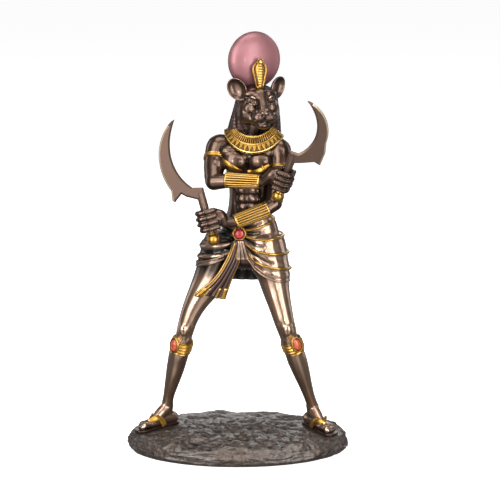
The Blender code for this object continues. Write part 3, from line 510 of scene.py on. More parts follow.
arms = {
    "right": [(-7.5, 4.5, 196.6, 7.0), (-12.3, 3.6, 195.6, 7.8), (-14.4, 0.8, 190.0, 7.2),
              (-15.3, -4.2, 183.6, 6.8), (-15.4, -9.2, 178.4, 6.2), (-15.4, -12.8, 175.0, 5.8)],
    "rightFore": [(-15.2, -13.4, 174.6, 5.7), (-9, -15.8, 175.4, 5.0), (0, -18, 175.9, 4.2),
                  (9, -20, 176.0, 3.8), (16.5, -21.6, 175.9, 3.2)],
    "left": [(24.5, -0.8, 195.4, 6.8), (28.2, -2.2, 194.0, 7.6), (28.8, -4.4, 186.4, 6.9),
             (27.2, -7, 176, 6.3), (25.8, -9.4, 167, 5.9), (25.2, -11, 161.5, 5.3)],
    "leftFore": [(24.8, -11.6, 160, 5.3), (17, -14.6, 155.4, 4.9), (8, -16.8, 151.6, 4.4),
                 (-1.7, -19, 148.5, 3.5), (-8, -20, 148.4, 3.0)],
}


def trunkClay(clay):
    limb(clay, torso["trunk"], bodyTurn)
    limb(clay, torso["shoulders"])
    for spot in torso["breasts"]:
        egg(clay, place(*spot), torso["breastRadii"], bodyTurn)


def hipClay(clay):
    for spot, radii in torso["hips"]:
        egg(clay, place(*spot), radii, bodyTurn)


def frontLine(tree, keys, steps=6):
    # Points on the front of a skin, from x and z keys.
    line = []
    for x, z in smoothPath(keys, steps):
        hit = tree.ray_cast(place(x, -60, z), Vector((0, 1, 0)))[0]
        if hit:
            line.append(hit)
    return line


clay = []
trunkClay(clay)
limb(clay, torso["neck"])
bareTrunk = skinOf("bareTrunk", clay, 0.7)
trunkTree = treeOf(bareTrunk.data)
bpy.data.objects.remove(bareTrunk)

clay = []
trunkClay(clay)
hipClay(clay)
limb(clay, torso["neck"][:2])
for key in ("right", "rightFore", "left", "leftFore"):
    limb(clay, arms[key])
for spot, radii in torso["muscles"]:
    egg(clay, place(*spot), radii)
for spot in torso["abdomen"]:
    egg(clay, place(*spot), torso["abdomenRadii"], bodyTurn)
torsoPiece = skinOf("torso", clay, torso["grain"], blend=9)
sculpt(torsoPiece, [(frontLine(trunkTree, keys), width, height) for keys, width, height in torso["creases"]])
finishPiece(torsoPiece, "skinBronze", reach=0.0007, rounds=26)
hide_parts("figure")
print("torso and arms made")


hands = {
    "right": {"centre": (30.8, -22.5, 178.0), "leanSide": 17, "leanBack": 20, "away": 1,
              "wrist": (16.5, -21.6, 175.9), "reach": 4.9},
    "left": {"centre": (-19.0, -20.5, 150.4), "leanSide": -15.5, "leanBack": -6, "away": -1,
             "wrist": (-8, -20, 148.4), "reach": 6.2},
    "rows": (5.7, 1.9, -1.9, -5.7),
    "grain": 0.32,
}


def handFrame(hand):
    turn = (Matrix.Rotation(math.radians(hand["leanBack"]), 4, "X")
            @ Matrix.Rotation(math.radians(hand["leanSide"]), 4, "Y")
            @ Matrix.Diagonal((hand["away"], 1, 1, 1)))
    return Matrix.Translation(place(*hand["centre"])) @ turn


def strokeBetween(frame, keys, steps=4):
    return [frame @ (Vector(tuple(key)) * unit) for key in smoothPath(keys, steps)]


def fingerReach(hand, row):
    return hand["reach"] - 0.02 * row * row  # the outer fingers are shorter


for side in ("right", "left"):
    hand = hands[side]
    where = handFrame(hand)
    turn = where.to_3x3().to_4x4()
    clay = []
    for row in hands["rows"]:
        reach = fingerReach(hand, row)
        limb(clay, [(-5.5, -4.0, row, 1.7), (0.2, -5.1, row, 2.0), (1.6, -5.0, row, 1.75),
                    (reach - 1.2, -3.9, row, 1.95), (reach, 0.2, row, 1.8), (reach - 2.2, 3.7, row, 1.75),
                    (-1.5, 4.2, row, 1.65)], turn, steps=4, where=where)
    egg(clay, where @ Vector((-6.0 * unit, -0.4 * unit, 0)), (4.8, 4.4, 6.4), turn)
    wrist = where.inverted() @ place(*hand["wrist"]) / unit
    limb(clay, [(*wrist, 3.1, 3.1, 3.1), (-9.5, -0.6, 0.3, 3.2, 3.6, 4.0), (-6, -0.6, 0, 3.6, 4.2, 5.6)],
         turn, where=where)
    limb(clay, [(-9, 2.0, 2.0, 2.6), (-5, 4.9, 3.4, 2.2), (0.5, 6.0, 4.2, 1.8), (5.6, 4.4, 4.6, 1.5)],
         turn, steps=4, where=where)
    handPiece = skinOf(f"{side}Hand", clay, hands["grain"], blend=3)
    gaps = []
    for low, high in zip(hands["rows"], hands["rows"][1:]):
        row = (low + high) / 2
        reach = fingerReach(hand, row)
        keys = [(-3.4, -6.2, row), (0.2, -6.6, row), (reach - 0.6, -5.4, row), (reach + 1.5, 0.2, row),
                (reach - 1.2, 5.0, row), (-1.5, 5.6, row)]
        gaps.append((strokeBetween(where, keys), 0.95, -0.75))
    sculpt(handPiece, gaps)
    finishPiece(handPiece, "skinBronze", reach=0.0006, rounds=20)
print("hands made")


legs = {
    "right": [(-10, 5, 126, 14.4), (-14.4, 4, 113, 13.0), (-18.5, 2.5, 104.5, 11.6), (-23.6, 0.5, 97, 9.4),
              (-28.9, -1.5, 88, 7.6), (-32.8, -3, 79, 6.5), (-35.1, -3.5, 71.3, 6.0), (-36.6, -2.6, 65, 5.7),
              (-38.2, -0.6, 59.5, 6.3), (-39.6, 0.6, 54.5, 6.9), (-41.3, 3, 47, 6.6), (-42.9, 4.8, 40, 6.0),
              (-45.2, 7.5, 30.5, 4.9), (-47.2, 10, 22, 4.0), (-48.4, 11.6, 15, 4.1), (-48.8, 12.2, 9, 4.2)],
    "left": [(18, 2.5, 128, 14.0), (21.5, 1, 118, 12.6), (23.8, -0.5, 110, 11.0), (25.4, -2.5, 102.3, 9.7),
             (27.2, -5, 95, 8.6), (29, -7, 88.5, 7.8), (31.3, -9.5, 80, 7.0), (33.4, -10.6, 73.2, 6.4),
             (35.1, -9.8, 67, 5.9), (37.6, -7.6, 60, 6.4), (40.3, -4.4, 51.5, 6.8), (43, -1.6, 43, 6.1),
             (46.6, 2.6, 31, 4.7), (49, 5.2, 23, 4.0), (51.3, 8, 15.3, 4.0), (51.8, 8.8, 9, 4.2)],
    "rightKnee": ((-36.2, -8.0, 72.5), (3.4, 2.6, 4.4)),
    "leftKnee": ((33.6, -15.4, 74.5), (3.5, 2.8, 4.6)),
    "ankleRadii": (5.2, 3.0, 2.4),
    "rightAnkle": ((-48.3, 11.5, 14.5), 0.7),
    "leftAnkle": ((51.5, 8.0, 14.8), 0.5),
    "grain": 0.58,
}
feet = {
    "right": {"heel": (-45.3, 15.0), "angle": 220.8, "inner": 1},
    "left": {"heel": (49.3, 13.2), "angle": -59.0, "inner": -1},
    "toes": [(3.3, 22, 30.0, 2.15), (0.3, 22.5, 29.3, 1.5), (-2.0, 22, 27.8, 1.4), (-4.1, 21, 26.0, 1.35),
             (-6.0, 19.5, 23.8, 1.35)],
    "soleEdge": [(-4.9, 0.4, -0.4), (-4.2, 2.6, -2.6), (-1.5, 4.3, -4.2), (4, 4.4, -4.3), (10, 4.2, -4.6),
                 (16, 5.0, -5.8), (21, 5.9, -7.2), (25, 6.1, -7.0), (29, 5.8, -5.0), (31.6, 4.0, -1.0),
                 (32.2, 2.6, 1.0)],
}


def footFrame(foot):
    flip = Matrix.Diagonal((1, foot["inner"], 1, 1))
    turn = Matrix.Rotation(math.radians(foot["angle"]), 4, "Z")
    return Matrix.Translation(place(*foot["heel"], 0)) @ turn @ flip


def footClay(clay, foot):
    where = footFrame(foot)
    turn = where.to_3x3().to_4x4()
    sole = figureSize["soleThickness"] / unit
    limb(clay, [(0, 0, 4.6, 4.5, 4.3, 4.4), (8, 0.2, 5.2, 4, 4.0, 4.4), (15, 0.2, 4.4, 4, 4.6, 3.5),
                (21, -0.5, 3.6, 3.4, 5.6, 2.4)], turn, where=where)
    limb(clay, [(4, 0, 13, 4.2), (9.5, 0.5, 10, 4.1), (15, 1, 6.8, 3.4), (20, 1.5, 4.5, 2.6)], turn, where=where)
    for y, start, end, radius in feet["toes"]:
        middle = (start + end) / 2
        limb(clay, [(start, y, sole + radius * 1.15, radius * 0.92), (middle, y, sole + radius * 1.35, radius),
                    (end - radius, y, sole + radius * 0.85, radius)], turn, where=where)


for side in ("right", "left"):
    clay = []
    limb(clay, legs[side])
    egg(clay, place(*legs[side + "Knee"][0]), legs[side + "Knee"][1])
    ankle, twist = legs[side + "Ankle"]
    egg(clay, place(*ankle), legs["ankleRadii"], Matrix.Rotation(twist, 4, "Z"))
    footClay(clay, feet[side])
    legPiece = skinOf(f"{side}Leg", clay, legs["grain"], blend=8)
    where = footFrame(feet[side])
    marks = []
    toes = feet["toes"]
    for (y, start, end, radius), (nextY, nextStart, nextEnd, nextRadius) in zip(toes, toes[1:]):
        middle = (y - radius + nextY + nextRadius) / 2
        marks.append((strokeBetween(where, [(start - 0.5, middle, 5.2), (start + 2, middle, 4.6),
                                            (nextEnd, middle, 2.6)]), 0.85, -0.8))
    for y, start, end, radius in toes:
        marks.append((strokeBetween(where, [(end - 0.2, y - radius * 0.4, 3.4), (end - 0.2, y + radius * 0.4, 3.4)]),
                      0.9, 0.22))
    knee = Vector(legs[side + "Knee"][0])
    drop = [(knee.x, knee.y - 1.5, knee.z - 7), (knee.x * 1.1, knee.y + 2, knee.z - 26),
            (knee.x * 1.2, knee.y + 8, knee.z - 44)]
    marks.append(([place(*spot) for spot in drop], 3.0, 0.35))
    for sign in (-1, 1):
        hollow = [(knee.x + sign * 4.6, knee.y + 0.6, knee.z + 4), (knee.x + sign * 4.8, knee.y + 1.0, knee.z - 2.5),
                  (knee.x + sign * 2.6, knee.y - 0.6, knee.z - 6.2)]
        marks.append(([place(*spot) for spot in hollow], 2.6, -0.6))
    sculpt(legPiece, marks)
    # The legs take the kilt's lighter polished bronze: partly their own polish, partly painted light from the white
    # floor below.
    finishPiece(legPiece, "kiltBronze", reach=0.0008, rounds=24)
    # Painted shade on the tops of the thighs, under the kilt.
    shade(legPiece, lambda x, y, z: 0.32 * smoothstep(100, 116, z))  # dark under the kilt
print("legs and feet made")


head = {
    "centre": (13.3, 0.5, 223.0),
    "skull": [((0, 2.5, 2.0), (12.4, 12.5, 12.4)), ((0, -6.2, 5.6), (9.8, 5.6, 6.4)),
              ((0, -6.8, -6.8), (10.2, 8.8, 6.0)), ((0, -10.8, -4.8), (7.8, 6.8, 5.6)),
              ((0, -11.6, -11.0), (5.2, 4.8, 3.2)), ((0, -12.6, -8.8), (5.2, 4.4, 3.4))],
    "pairs": [((7.6, -2.0, -3.2), (7.0, 8.0, 9.0), 0, 0), ((3.7, -14.2, -5.8), (4.5, 4.1, 3.7), 0, 0),
              ((6.9, -8.1, 8.7), (4.9, 2.0, 2.3), -0.05, 0.4), ((7.4, -7.2, -1.0), (4.6, 3.2, 4.4), 0, 0)],
    "bridge": [(0, -8.0, 9.0, 4.0, 2.8, 3.0), (0, -11.0, 4.4, 3.2, 2.8, 3.0), (0, -13.8, 0.8, 3.0, 2.7, 2.6),
               (0, -15.8, -1.6, 3.3, 2.2, 2.0)],
    "noseTip": ((0, -17.3, -2.9), (3.7, 1.7, 1.8)),
    "ear": {"spot": (14.2, -0.8, 11.6), "radii": (6.3, 3.4, 7.9)},
    "grain": 0.345,
}
headFrame = Matrix.Translation(place(*head["centre"])) @ Matrix.Rotation(math.radians(turns["head"]), 4, "Z")
headTurn = headFrame.to_3x3().to_4x4()
inward = headTurn.to_3x3() @ Vector((0, 1, 0))


def headEgg(clay, centre, radii, tilt=(0, 0, 0)):
    egg(clay, headFrame @ (Vector(centre) * unit), radii, headTurn @ Euler(tilt).to_matrix().to_4x4())


def earFrame(side):
    x, y, z = head["ear"]["spot"]
    return (headFrame @ Matrix.Translation(Vector((side * x, y, z)) * unit)
            @ Euler((0.1, side * 0.55, side * 0.6)).to_matrix().to_4x4())


def earMesh(side):
    # A round ear with a dished front and a rolled rim.
    bm = bmesh.new()
    bmesh.ops.create_uvsphere(bm, u_segments=40, v_segments=28, radius=1.0)
    for vert in bm.verts:
        x, y, z = vert.co
        if y < 0:
            away = min(1.0, x * x + z * z) ** 1.4
            vert.co.y = 0.74 * (1 - away) ** 0.7 - 0.5 * math.sqrt(max(0.0, 1 - (2 * away - 1) ** 2)) * away - 0.1
    bmesh.ops.scale(bm, vec=Vector(head["ear"]["radii"]) * unit, verts=bm.verts)
    bmesh.ops.transform(bm, matrix=earFrame(side), verts=bm.verts)
    mesh = bpy.data.meshes.new("ear")
    bm.to_mesh(mesh)
    bm.free()
    return mesh


clay = []
for centre, radii in head["skull"]:
    headEgg(clay, centre, radii)
for (x, y, z), radii, roll, yaw in head["pairs"]:
    for side in (-1, 1):
        headEgg(clay, (side * x, y, z), radii, (0, side * roll, side * yaw))
limb(clay, head["bridge"], where=headFrame)
headEgg(clay, *head["noseTip"])
limb(clay, torso["neck"])
headPiece = skinOf("head", clay, head["grain"], shaped=[earMesh(-1), earMesh(1)])
headTree = treeOf(headPiece.data)


def faceHit(x, z):
    return headTree.ray_cast(headFrame @ (Vector((x, -40, z)) * unit), inward)[0]


def onFace(keys, steps=6):
    # Points on the face, from x and z keys in the head's own frame.
    hits = [faceHit(x, z) for x, z in smoothPath(keys, steps)]
    return [hit for hit in hits if hit]


face = [
    ([(0, -4.9), (0, -8.0)], 0.7, -0.9),
    ([(-2.6, -1.2), (0, -0.7), (2.6, -1.2)], 0.8, -0.45),
    ([(-3.2, -9.9), (0, -10.4), (3.2, -9.9)], 1.0, -0.12),
]
for side in (-1, 1):
    face += [
        ([(side * 5.4, 4.4), (side * 8.6, 5.2)], 3.4, -1.5),
        ([(side * 3.0, 9.4), (side * 2.3, 4.4), (side * 2.4, -0.4)], 1.0, 0.25),
        ([(side * 3.7, 3.6), (side * 3.8, 0.4), (side * 4.6, -2.0)], 1.2, -0.3),
        ([(side * 0.9, -4.3), (side * 2.0, -4.2), (side * 3.1, -3.2)], 0.75, -1.0),
        ([(0, -8.0), (side * 2.4, -9.4), (side * 5.0, -9.0), (side * 7.4, -7.2)], 0.7, -0.85),
        ([(side * 8.3, -3.4), (side * 8.2, -6.0), (side * 7.2, -8.0)], 1.5, -0.5),
        ([(side * 4.4, 2.2), (side * 6.6, 1.6), (side * 9.4, 3.0)], 0.9, 0.35),
    ]
    for row in range(3):
        for step in range(3):
            x, z = side * (2.7 + 1.6 * step), -5.2 - 1.1 * row + 0.2 * step
            face.append(([(x, z), (x + 0.25 * side, z)], 0.42, -0.13))
sculpt(headPiece, [(onFace(keys, 5), width, height) for keys, width, height in face])
# The face takes the lighter faceBronze: painted light on the face.
finishPiece(headPiece, "faceBronze", reach=0.0007, rounds=26)


def headShade(x, y, z):
    # Painted shade under the chin and in the bowls of the ears.
    dark = 0.30 * smoothstep(212, 207, z)
    spots = np.stack([x * unit, y * unit, figureSize["rockTop"] + z * unit, np.ones(len(x))])
    for side in (-1, 1):
        across, deep, up, _ = np.array(earFrame(side).inverted()) @ spots / unit
        away = np.hypot(across / head["ear"]["radii"][0], up / head["ear"]["radii"][2])
        dark = dark + 0.36 * smoothstep(0.86, 0.55, away) * smoothstep(1.5, -0.5, deep) * smoothstep(7, 5, abs(deep))
    return dark


shade(headPiece, headShade)

headTree = treeOf(headPiece.data)
eyes = {"spot": (6.8, 4.7), "radius": 2.6, "sink": 1.55, "iris": 1.25, "irisCut": 0.16, "pupilCut": 0.35}
parts = []
for side in (-1, 1):
    centre = faceHit(side * eyes["spot"][0], eyes["spot"][1]) + inward * eyes["sink"] * unit
    look = (headTurn.to_3x3() @ Vector((side * 0.28, -1, 0.02))).normalized()
    eyeFrame = frameAlong(centre, centre + look)

    def eyeShape(u, v):
        radius = eyes["radius"] * unit
        polar = math.pi * v
        ring = radius * math.sin(polar)
        cut = eyes["irisCut"] * math.exp(-((ring / unit - eyes["iris"]) / 0.22) ** 2) if v < 0.5 else 0
        pupil = eyes["pupilCut"] * math.exp(-(ring / unit / 0.4) ** 2) if v < 0.5 else 0
        deep = radius - (cut + pupil) * unit
        return eyeFrame @ onRing(u, deep * math.sin(polar), deep * math.sin(polar), deep * math.cos(polar))

    parts.append(sheetPiece("eyeball", 40, 30, eyeShape, closed=True))
    for keys, radius in (
        ([(side * 3.5, 2.9), (side * 4.7, 5.9), (side * 6.9, 7.2), (side * 9.0, 6.6), (side * 10.4, 5.3)], 0.5),
        ([(side * 3.5, 2.9), (side * 5.5, 2.2), (side * 7.6, 2.5), (side * 9.3, 3.8), (side * 10.4, 5.3)], 0.38),
    ):
        lid = [point - inward * 0.75 * unit * math.sin(math.pi * i / 24) for i, point in enumerate(onFace(keys, 6))]
        parts.append(tubePiece("lid", lid, radius * unit, 8, 0.6))
eyePiece = joined("eyes", parts)
# The eyes take the lighter faceBronze too: painted light on the face.
finishPiece(eyePiece, "faceBronze", reach=0.00022, rounds=8)
print("head made")


wig = {
    "masses": [(13.2, 5.0, 227, 14.2, 11.5, 10), (12.4, 7.0, 217, 16.2, 9.8, 8), (11.6, 8.4, 208, 18.0, 8.8, 7),
               (11.0, 9.2, 199, 19.0, 7.6, 6), (10.6, 10.0, 191, 18.6, 6.0, 5)],
    "locks": 30, "middle": (11.8, 2.0), "wave": 0.12, "groove": 0.5, "grain": 0.5,
}
clay = []
limb(clay, wig["masses"], Matrix.Rotation(math.radians(turns["head"] / 2), 4, "Z"))
wigPiece = skinOf("wig", clay, wig["grain"], blend=3)
points, normals = pointsOf(wigPiece.data)
around = np.arctan2(points[:, 0] - wig["middle"][0] * unit, points[:, 1] - wig["middle"][1] * unit)
groove = np.abs(np.sin(around * wig["locks"] / 2)) ** 0.6
height = poseOf(points)[:, 2]
wave = wig["wave"] * np.sin(height * 2.6 + np.floor(around * wig["locks"] / 2 / np.pi) * 1.7)
points += normals * ((groove - 0.75 + wave) * wig["groove"] * unit)[:, None]
setPoints(wigPiece.data, points)
finishPiece(wigPiece, "hairBronze", reach=0.00024, rounds=12)
print("wig made")


kilt = {
    "lift": 0.7, "axis": (5.0, 3.5), "grain": 0.54, "goldRadius": 0.95, "goldProud": 0.6, "hemBack": 104.0,
    "folds": [
        {"heights": {-14: 140.5, 35: 142.6, 90: 147.7, 180: 147, 270: 143.5, 318: 141.5, 334: 140.8}, "lift": 1.1},
        {"heights": {-14: 138.7, 35: 134.9, 90: 136, 180: 138, 270: 138.5, 318: 137.3, 334: 138}, "lift": 1.2},
        {"heights": {-14: 135.5, 35: 126.6, 90: 124.7, 180: 127, 270: 128.5, 318: 131.5, 334: 134.9}, "lift": 1.3},
        {"heights": {-10: 133.5, 32: 119, 90: 113.7, 180: 116, 270: 120.8, 318: 125, 334: 130}, "lift": 1.3},
        {"heights": {-4: 128, 30: 114.5, 90: 109.4, 180: 110, 270: 117.2, 318: 121.5, 334: 126}, "lift": 1.0},
    ],
    "hemFront": [(-36, 113), (-29, 114), (-23, 116.4), (-17, 118.2), (-9, 121.2), (-4.6, 125.3), (1.2, 126),
                 (7, 122.2), (11.2, 114.2), (17.7, 110), (25, 106.9), (35, 105.4)],
    "hemSpans": ((-36, -8.0), (6.0, 35)), "hemCords": ((0.2, 0.8), (2.5, 0.55)),  # each cord's height and radius
}


def hemHeight(x, y):
    keys = np.array(kilt["hemFront"])
    front = np.interp(x, keys[:, 0], keys[:, 1])
    back = smoothstep(2, 9, y + 0.21 * x)
    return front + (kilt["hemBack"] - front) * back


def roundHips(tree, heights, first=None, last=None, count=120):
    # Points round the hips, at heights that change with the angle.
    angles, levels = np.array(list(heights.items()), float).T
    path = np.array(smoothPath(np.stack([angles, levels], 1), 8))
    first = min(heights) if first is None else first
    last = max(heights) if last is None else last
    line = []
    for angle in np.linspace(first, last, count):
        level = np.interp(angle, path[:, 0], path[:, 1])
        out = Vector((math.sin(math.radians(angle)), -math.cos(math.radians(angle)), 0))
        hit = tree.ray_cast(place(*kilt["axis"], level) + out * 70 * unit, -out)[0]
        if hit:
            line.append(hit)
    return line


clay = []
limb(clay, torso["trunk"][:5], bodyTurn)
hipClay(clay)
limb(clay, legs["right"][:5])
limb(clay, legs["left"][:6])
kiltPiece = skinOf("kilt", clay, kilt["grain"], blend=14)
hipTree = treeOf(kiltPiece.data)
points, normals = pointsOf(kiltPiece.data)
pose = poseOf(points)
waist = (143.5 + 6 * smoothstep(4, 24, pose[:, 0]) + 3 * smoothstep(4, 20, -pose[:, 0])
         + 5 * smoothstep(2, 9, pose[:, 1]))
lift = kilt["lift"] * (0.3 + 0.7 * smoothstep(waist + 1.5, waist - 4, pose[:, 2]))
points += normals * (lift * unit)[:, None]
foldLines = [roundHips(hipTree, fold["heights"]) for fold in kilt["folds"]]
between = []
for upper, lower in zip(kilt["folds"], kilt["folds"][1:]):
    start = list(upper["heights"].values())[0]
    heights = {key: (upper["heights"].get(key, start) + level) / 2 for key, level in lower["heights"].items()}
    between.append(roundHips(hipTree, heights))
for line in between:
    for near, width, height in ((line[:20], 1.5, -1.1), (line[-30:], 2.2, -0.9), (line, 2.6, -0.2)):
        stroke(points, normals, near, width, height)  # the gathers are deepest by the jewel and on the viewer's left
for line, fold in zip(foldLines, kilt["folds"]):
    for near, width, height in ((line[:18], 1.5, 0.5), (line[-30:], 2.0, 0.8), (line, 2.2, 0.35)):
        stroke(points, normals, near, width, height * fold["lift"])
for shift in (-1.9, -3.4):  # finer gathers between the folds, on the viewer's left
    for fold in kilt["folds"][:4]:
        heights = {key: level + shift for key, level in fold["heights"].items()}
        stroke(points, normals, roundHips(hipTree, heights, 282), 0.9, 0.55)
points = levelled(kiltPiece.data, points, 2, 0.5)
setPoints(kiltPiece.data, points)
pose = poseOf(points)
hem = hemHeight(pose[:, 0], pose[:, 1])
outside = (pose[:, 2] < hem) | (pose[:, 2] > waist + 1.5)
bm = bmesh.new()
bm.from_mesh(kiltPiece.data)
bm.verts.ensure_lookup_table()
spare = [vert for vert in bm.verts if outside[vert.index]]
kept = {vert: (hem[vert.index], waist[vert.index] + 1.5) for vert in bm.verts if not outside[vert.index]}
bmesh.ops.delete(bm, geom=spare, context="VERTS")
for vert, levels in kept.items():  # the cut edges run level, at the hem and the waist
    z = (vert.co.z - figureSize["rockTop"]) / unit
    level = min(levels, key=lambda level: abs(level - z))
    if vert.is_boundary and abs(level - z) < 0.9 and vert.co.y < 0.008:
        vert.co.z = figureSize["rockTop"] + level * unit
bm.to_mesh(kiltPiece.data)
bm.free()
giveWall(kiltPiece, 0.5 * unit)
finishPiece(kiltPiece, "kiltBronze", reach=0.0007, rounds=24)


def kiltShade(x, y, z):
    # Painted shade among the gathers by the jewel and over the viewer's left side, on the front only.
    fromJewel = np.hypot(x - 1.6, z - 138)
    return (0.34 * smoothstep(19, 6, fromJewel) + 0.24 * smoothstep(-2, -12, x)) * smoothstep(8, 0, y)


shade(kiltPiece, kiltShade)

kiltTree = treeOf(kiltPiece.data)
axis = place(*kilt["axis"], 0)
trims = []
for fold in kilt["folds"][:4]:
    line = roundHips(kiltTree, fold["heights"], min(fold["heights"]) + 3, 235, 90)
    line = [spot + (spot - axis).to_2d().normalized().to_3d() * kilt["goldProud"] * unit for spot in line]
    if len(line) > 3:
        trims.append(tubePiece("foldTrim", line, kilt["goldRadius"] * unit, 8, 0.25))
goldFolds = joined("goldFolds", trims)
finishPiece(goldFolds, "antiqueGold", reach=0.0003, rounds=5)

hemLines = []
keys = np.array(kilt["hemFront"])
for shift, radius in kilt["hemCords"]:
    for first, last in kilt["hemSpans"]:
        line = []
        for x in np.linspace(first, last, 18):
            z = float(np.interp(x, keys[:, 0], keys[:, 1])) + shift
            hit = kiltTree.ray_cast(place(x, -60, z + 0.35), Vector((0, 1, 0)))[0]
            if hit and hit.y < 0.012:
                line.append(hit - Vector((0, 0.3 * unit, 0)))
        if len(line) > 3:
            hemLines.append(tubePiece("hemLine", line, radius * unit, 8, 0.2))
hemPiece = joined("hemLines", hemLines)
finishPiece(hemPiece, "kiltBronze")
wearBy(hemPiece, lambda point: 0.36)
print("kilt made")


sashes = {
    "long": {"pleats": 4, "depth": 1.5, "rows": 36,
             "stations": [(0.6, -10.4, 134, 2.4, 0), (-2.6, -11.6, 122, 4.4, 0.2), (-9.2, -11.4, 109.5, 6.0, 0.4),
                          (-18.0, -10.6, 97.2, 10.0, -1.4)]},
    "short": {"pleats": 3, "depth": 1.1, "rows": 20,
              "stations": [(2.4, -12.0, 135, 1.8, 0), (3.2, -13.2, 129, 2.9, 0), (4.0, -13.6, 122.4, 4.4, 0)]},
    "cords": [("long", -1.0, 0.8), ("long", -0.72, 0.5), ("long", 0.98, 0.7), ("short", -1.0, 0.45),
              ("short", 1.0, 0.45), ("short", 0.33, 0.35), ("short", -0.33, 0.35)],
    "back": [(-26, 9.6), (-21, 12.4), (-14, 13.4), (-5, 13.4), (4, 12.8), (13, 11.6), (22, 9.0), (29, 5.4), (33, 2.0)],
    "backLevels": [(132, -5.0, 0.66), (122, -1.6, 0.86), (112, 0.0, 0.96), (102.6, 0.8, 1.0)],
}


def pleatWave(sash, share):
    return sash["depth"] * abs(math.sin(math.pi * sash["pleats"] * (share + 1) / 2)) ** 0.7


def sashPoint(sash, station, share, proud):
    # A point on a sash's pleats; share runs from -1 to 1 across it.
    x, y, z, half, slant = station
    return place(x + half * share, y + 0.16 * half * share - proud - pleatWave(sash, share), z + slant * share)


def hangingCloth(name, sash):
    path = smoothPath(sash["stations"], sash["rows"] // (len(sash["stations"]) - 1))
    rows = len(path) - 1

    def shape(u, v):
        return sashPoint(sash, path[int(round(v * rows))], 2 * u - 1, 0.8)

    return sheetPiece(name, sash["pleats"] * 12, rows, shape, thickness=1.4 * unit)


longSash = hangingCloth("longSash", sashes["long"])
finishPiece(longSash, "hairBronze", reach=0.0004, rounds=14)
shortSash = hangingCloth("shortSash", sashes["short"])
finishPiece(shortSash, "kiltBronze", reach=0.0004, rounds=10)
shade(shortSash, lambda x, y, z: 0.24 + 0 * z)

cords = []
for key, share, radius in sashes["cords"]:
    line = [sashPoint(sashes[key], station, share, 1.6) for station in smoothPath(sashes[key]["stations"], 12)]
    cords.append(tubePiece("sashEdge", line, radius * unit, 8, 0.15))
sashGold = joined("sashGold", cords)
finishPiece(sashGold, "antiqueGold", reach=0.0003, rounds=5)


def sashCorner(low, high, flare):
    # A flared gold hem at the foot of the long sash.
    sash = sashes["long"]
    path = smoothPath(sash["stations"], 16)

    def shape(u, v):
        x, y, z, half, slant = path[int(round((len(path) - 1) * (0.86 + 0.14 * v)))]
        share = low + (high - low) * u
        depth = y + 0.16 * half * share - 1.3 - pleatWave(sash, share) - 0.35 * math.sin(9 * u)
        return place(x + half * share * (1 + flare * v), depth, z + slant * share - 1.2 * v)

    return sheetPiece("sashCorner", 18, 10, shape, thickness=0.7 * unit)


cornerPiece = joined("sashCorners", [sashCorner(-1.0, -0.42, 0.05), sashCorner(0.28, 0.96, 0.05)])
finishPiece(cornerPiece, "antiqueGold", reach=0.0003, rounds=8)
backLevels = smoothPath(sashes["backLevels"], 8)
backEdge = smoothPath(sashes["back"], 12)


def backShape(u, v):
    low, swing, draw = backLevels[int(round(v * (len(backLevels) - 1)))]
    x, y = backEdge[int(round(u * (len(backEdge) - 1)))]
    ripple = 0.45 * math.sin(u * 62)
    x = 4 + (x - 4) * draw
    return place(x, y + swing + 0.1 + ripple * v, low + 0.0025 * (x - 5) ** 2)


backPiece = sheetPiece("backCloth", 96, 24, backShape, thickness=1.6 * unit)
# The back cloth takes the near-black shadeBronze: painted shade where it hangs behind the legs.
finishPiece(backPiece, "shadeBronze", reach=0.0004, rounds=12)
print("sashes made")


collar = {"around": 300, "across": 26, "middle": (11.4, 3.0), "inner": (11.4, 9.4), "width": (8.2, 7.2),
          "rims": (0.04, 0.50, 0.96), "flutes": 62, "petals": 34}


def collarShape(u, v):
    turn = 2 * math.pi * u
    side, front = math.sin(turn), math.cos(turn)
    tuck = 1 - 0.8 * float(smoothstep(0.2, 0.75, -front))  # narrow at the back, under the wig
    reachX, reachY = ((inner + width * v * tuck) * unit for inner, width in zip(collar["inner"], collar["width"]))
    spot = Vector(place(*collar["middle"], 0)) + bodyTurn @ Vector((side * reachX, -front * reachY, 0))
    hit = None
    for up in (230, 216, 208):
        hit = trunkTree.ray_cast(Vector((spot.x, spot.y, place(0, 0, up).z)), Vector((0, 0, -1)))[0]
        if hit:
            break
    drop = max(front, 0) ** 1.5
    inner, outer = 208.5 - 5.3 * drop, 203.8 - 10.8 * drop - 1.8 * side
    level = place(0, 0, inner + (outer - inner) * v).z
    if hit:
        level = max(level, hit.z)
    rims = sum(math.exp(-((v - at) / 0.028) ** 2) for at in collar["rims"])
    lift = 0.95 + 0.55 * rims
    if 0.08 < v < 0.46:
        lift += 0.28 * math.cos(turn * collar["flutes"])
    if 0.54 < v < 0.92:
        saw = abs((u * collar["petals"]) % 1 - 0.5) * 2  # 1 at each petal's middle
        lift += 0.16 if saw > (v - 0.54) / 0.38 * 0.95 else -0.10
    slope = Vector((side * 0.45, -front * 0.6, 0.75)).normalized()
    return Vector((spot.x, spot.y, level)) + slope * lift * unit


collarPiece = sheetPiece("collar", collar["around"], collar["across"], collarShape, closed=True)
giveWall(collarPiece, 1.8 * unit)
finishPiece(collarPiece, "antiqueGold", reach=0.00024, rounds=14)

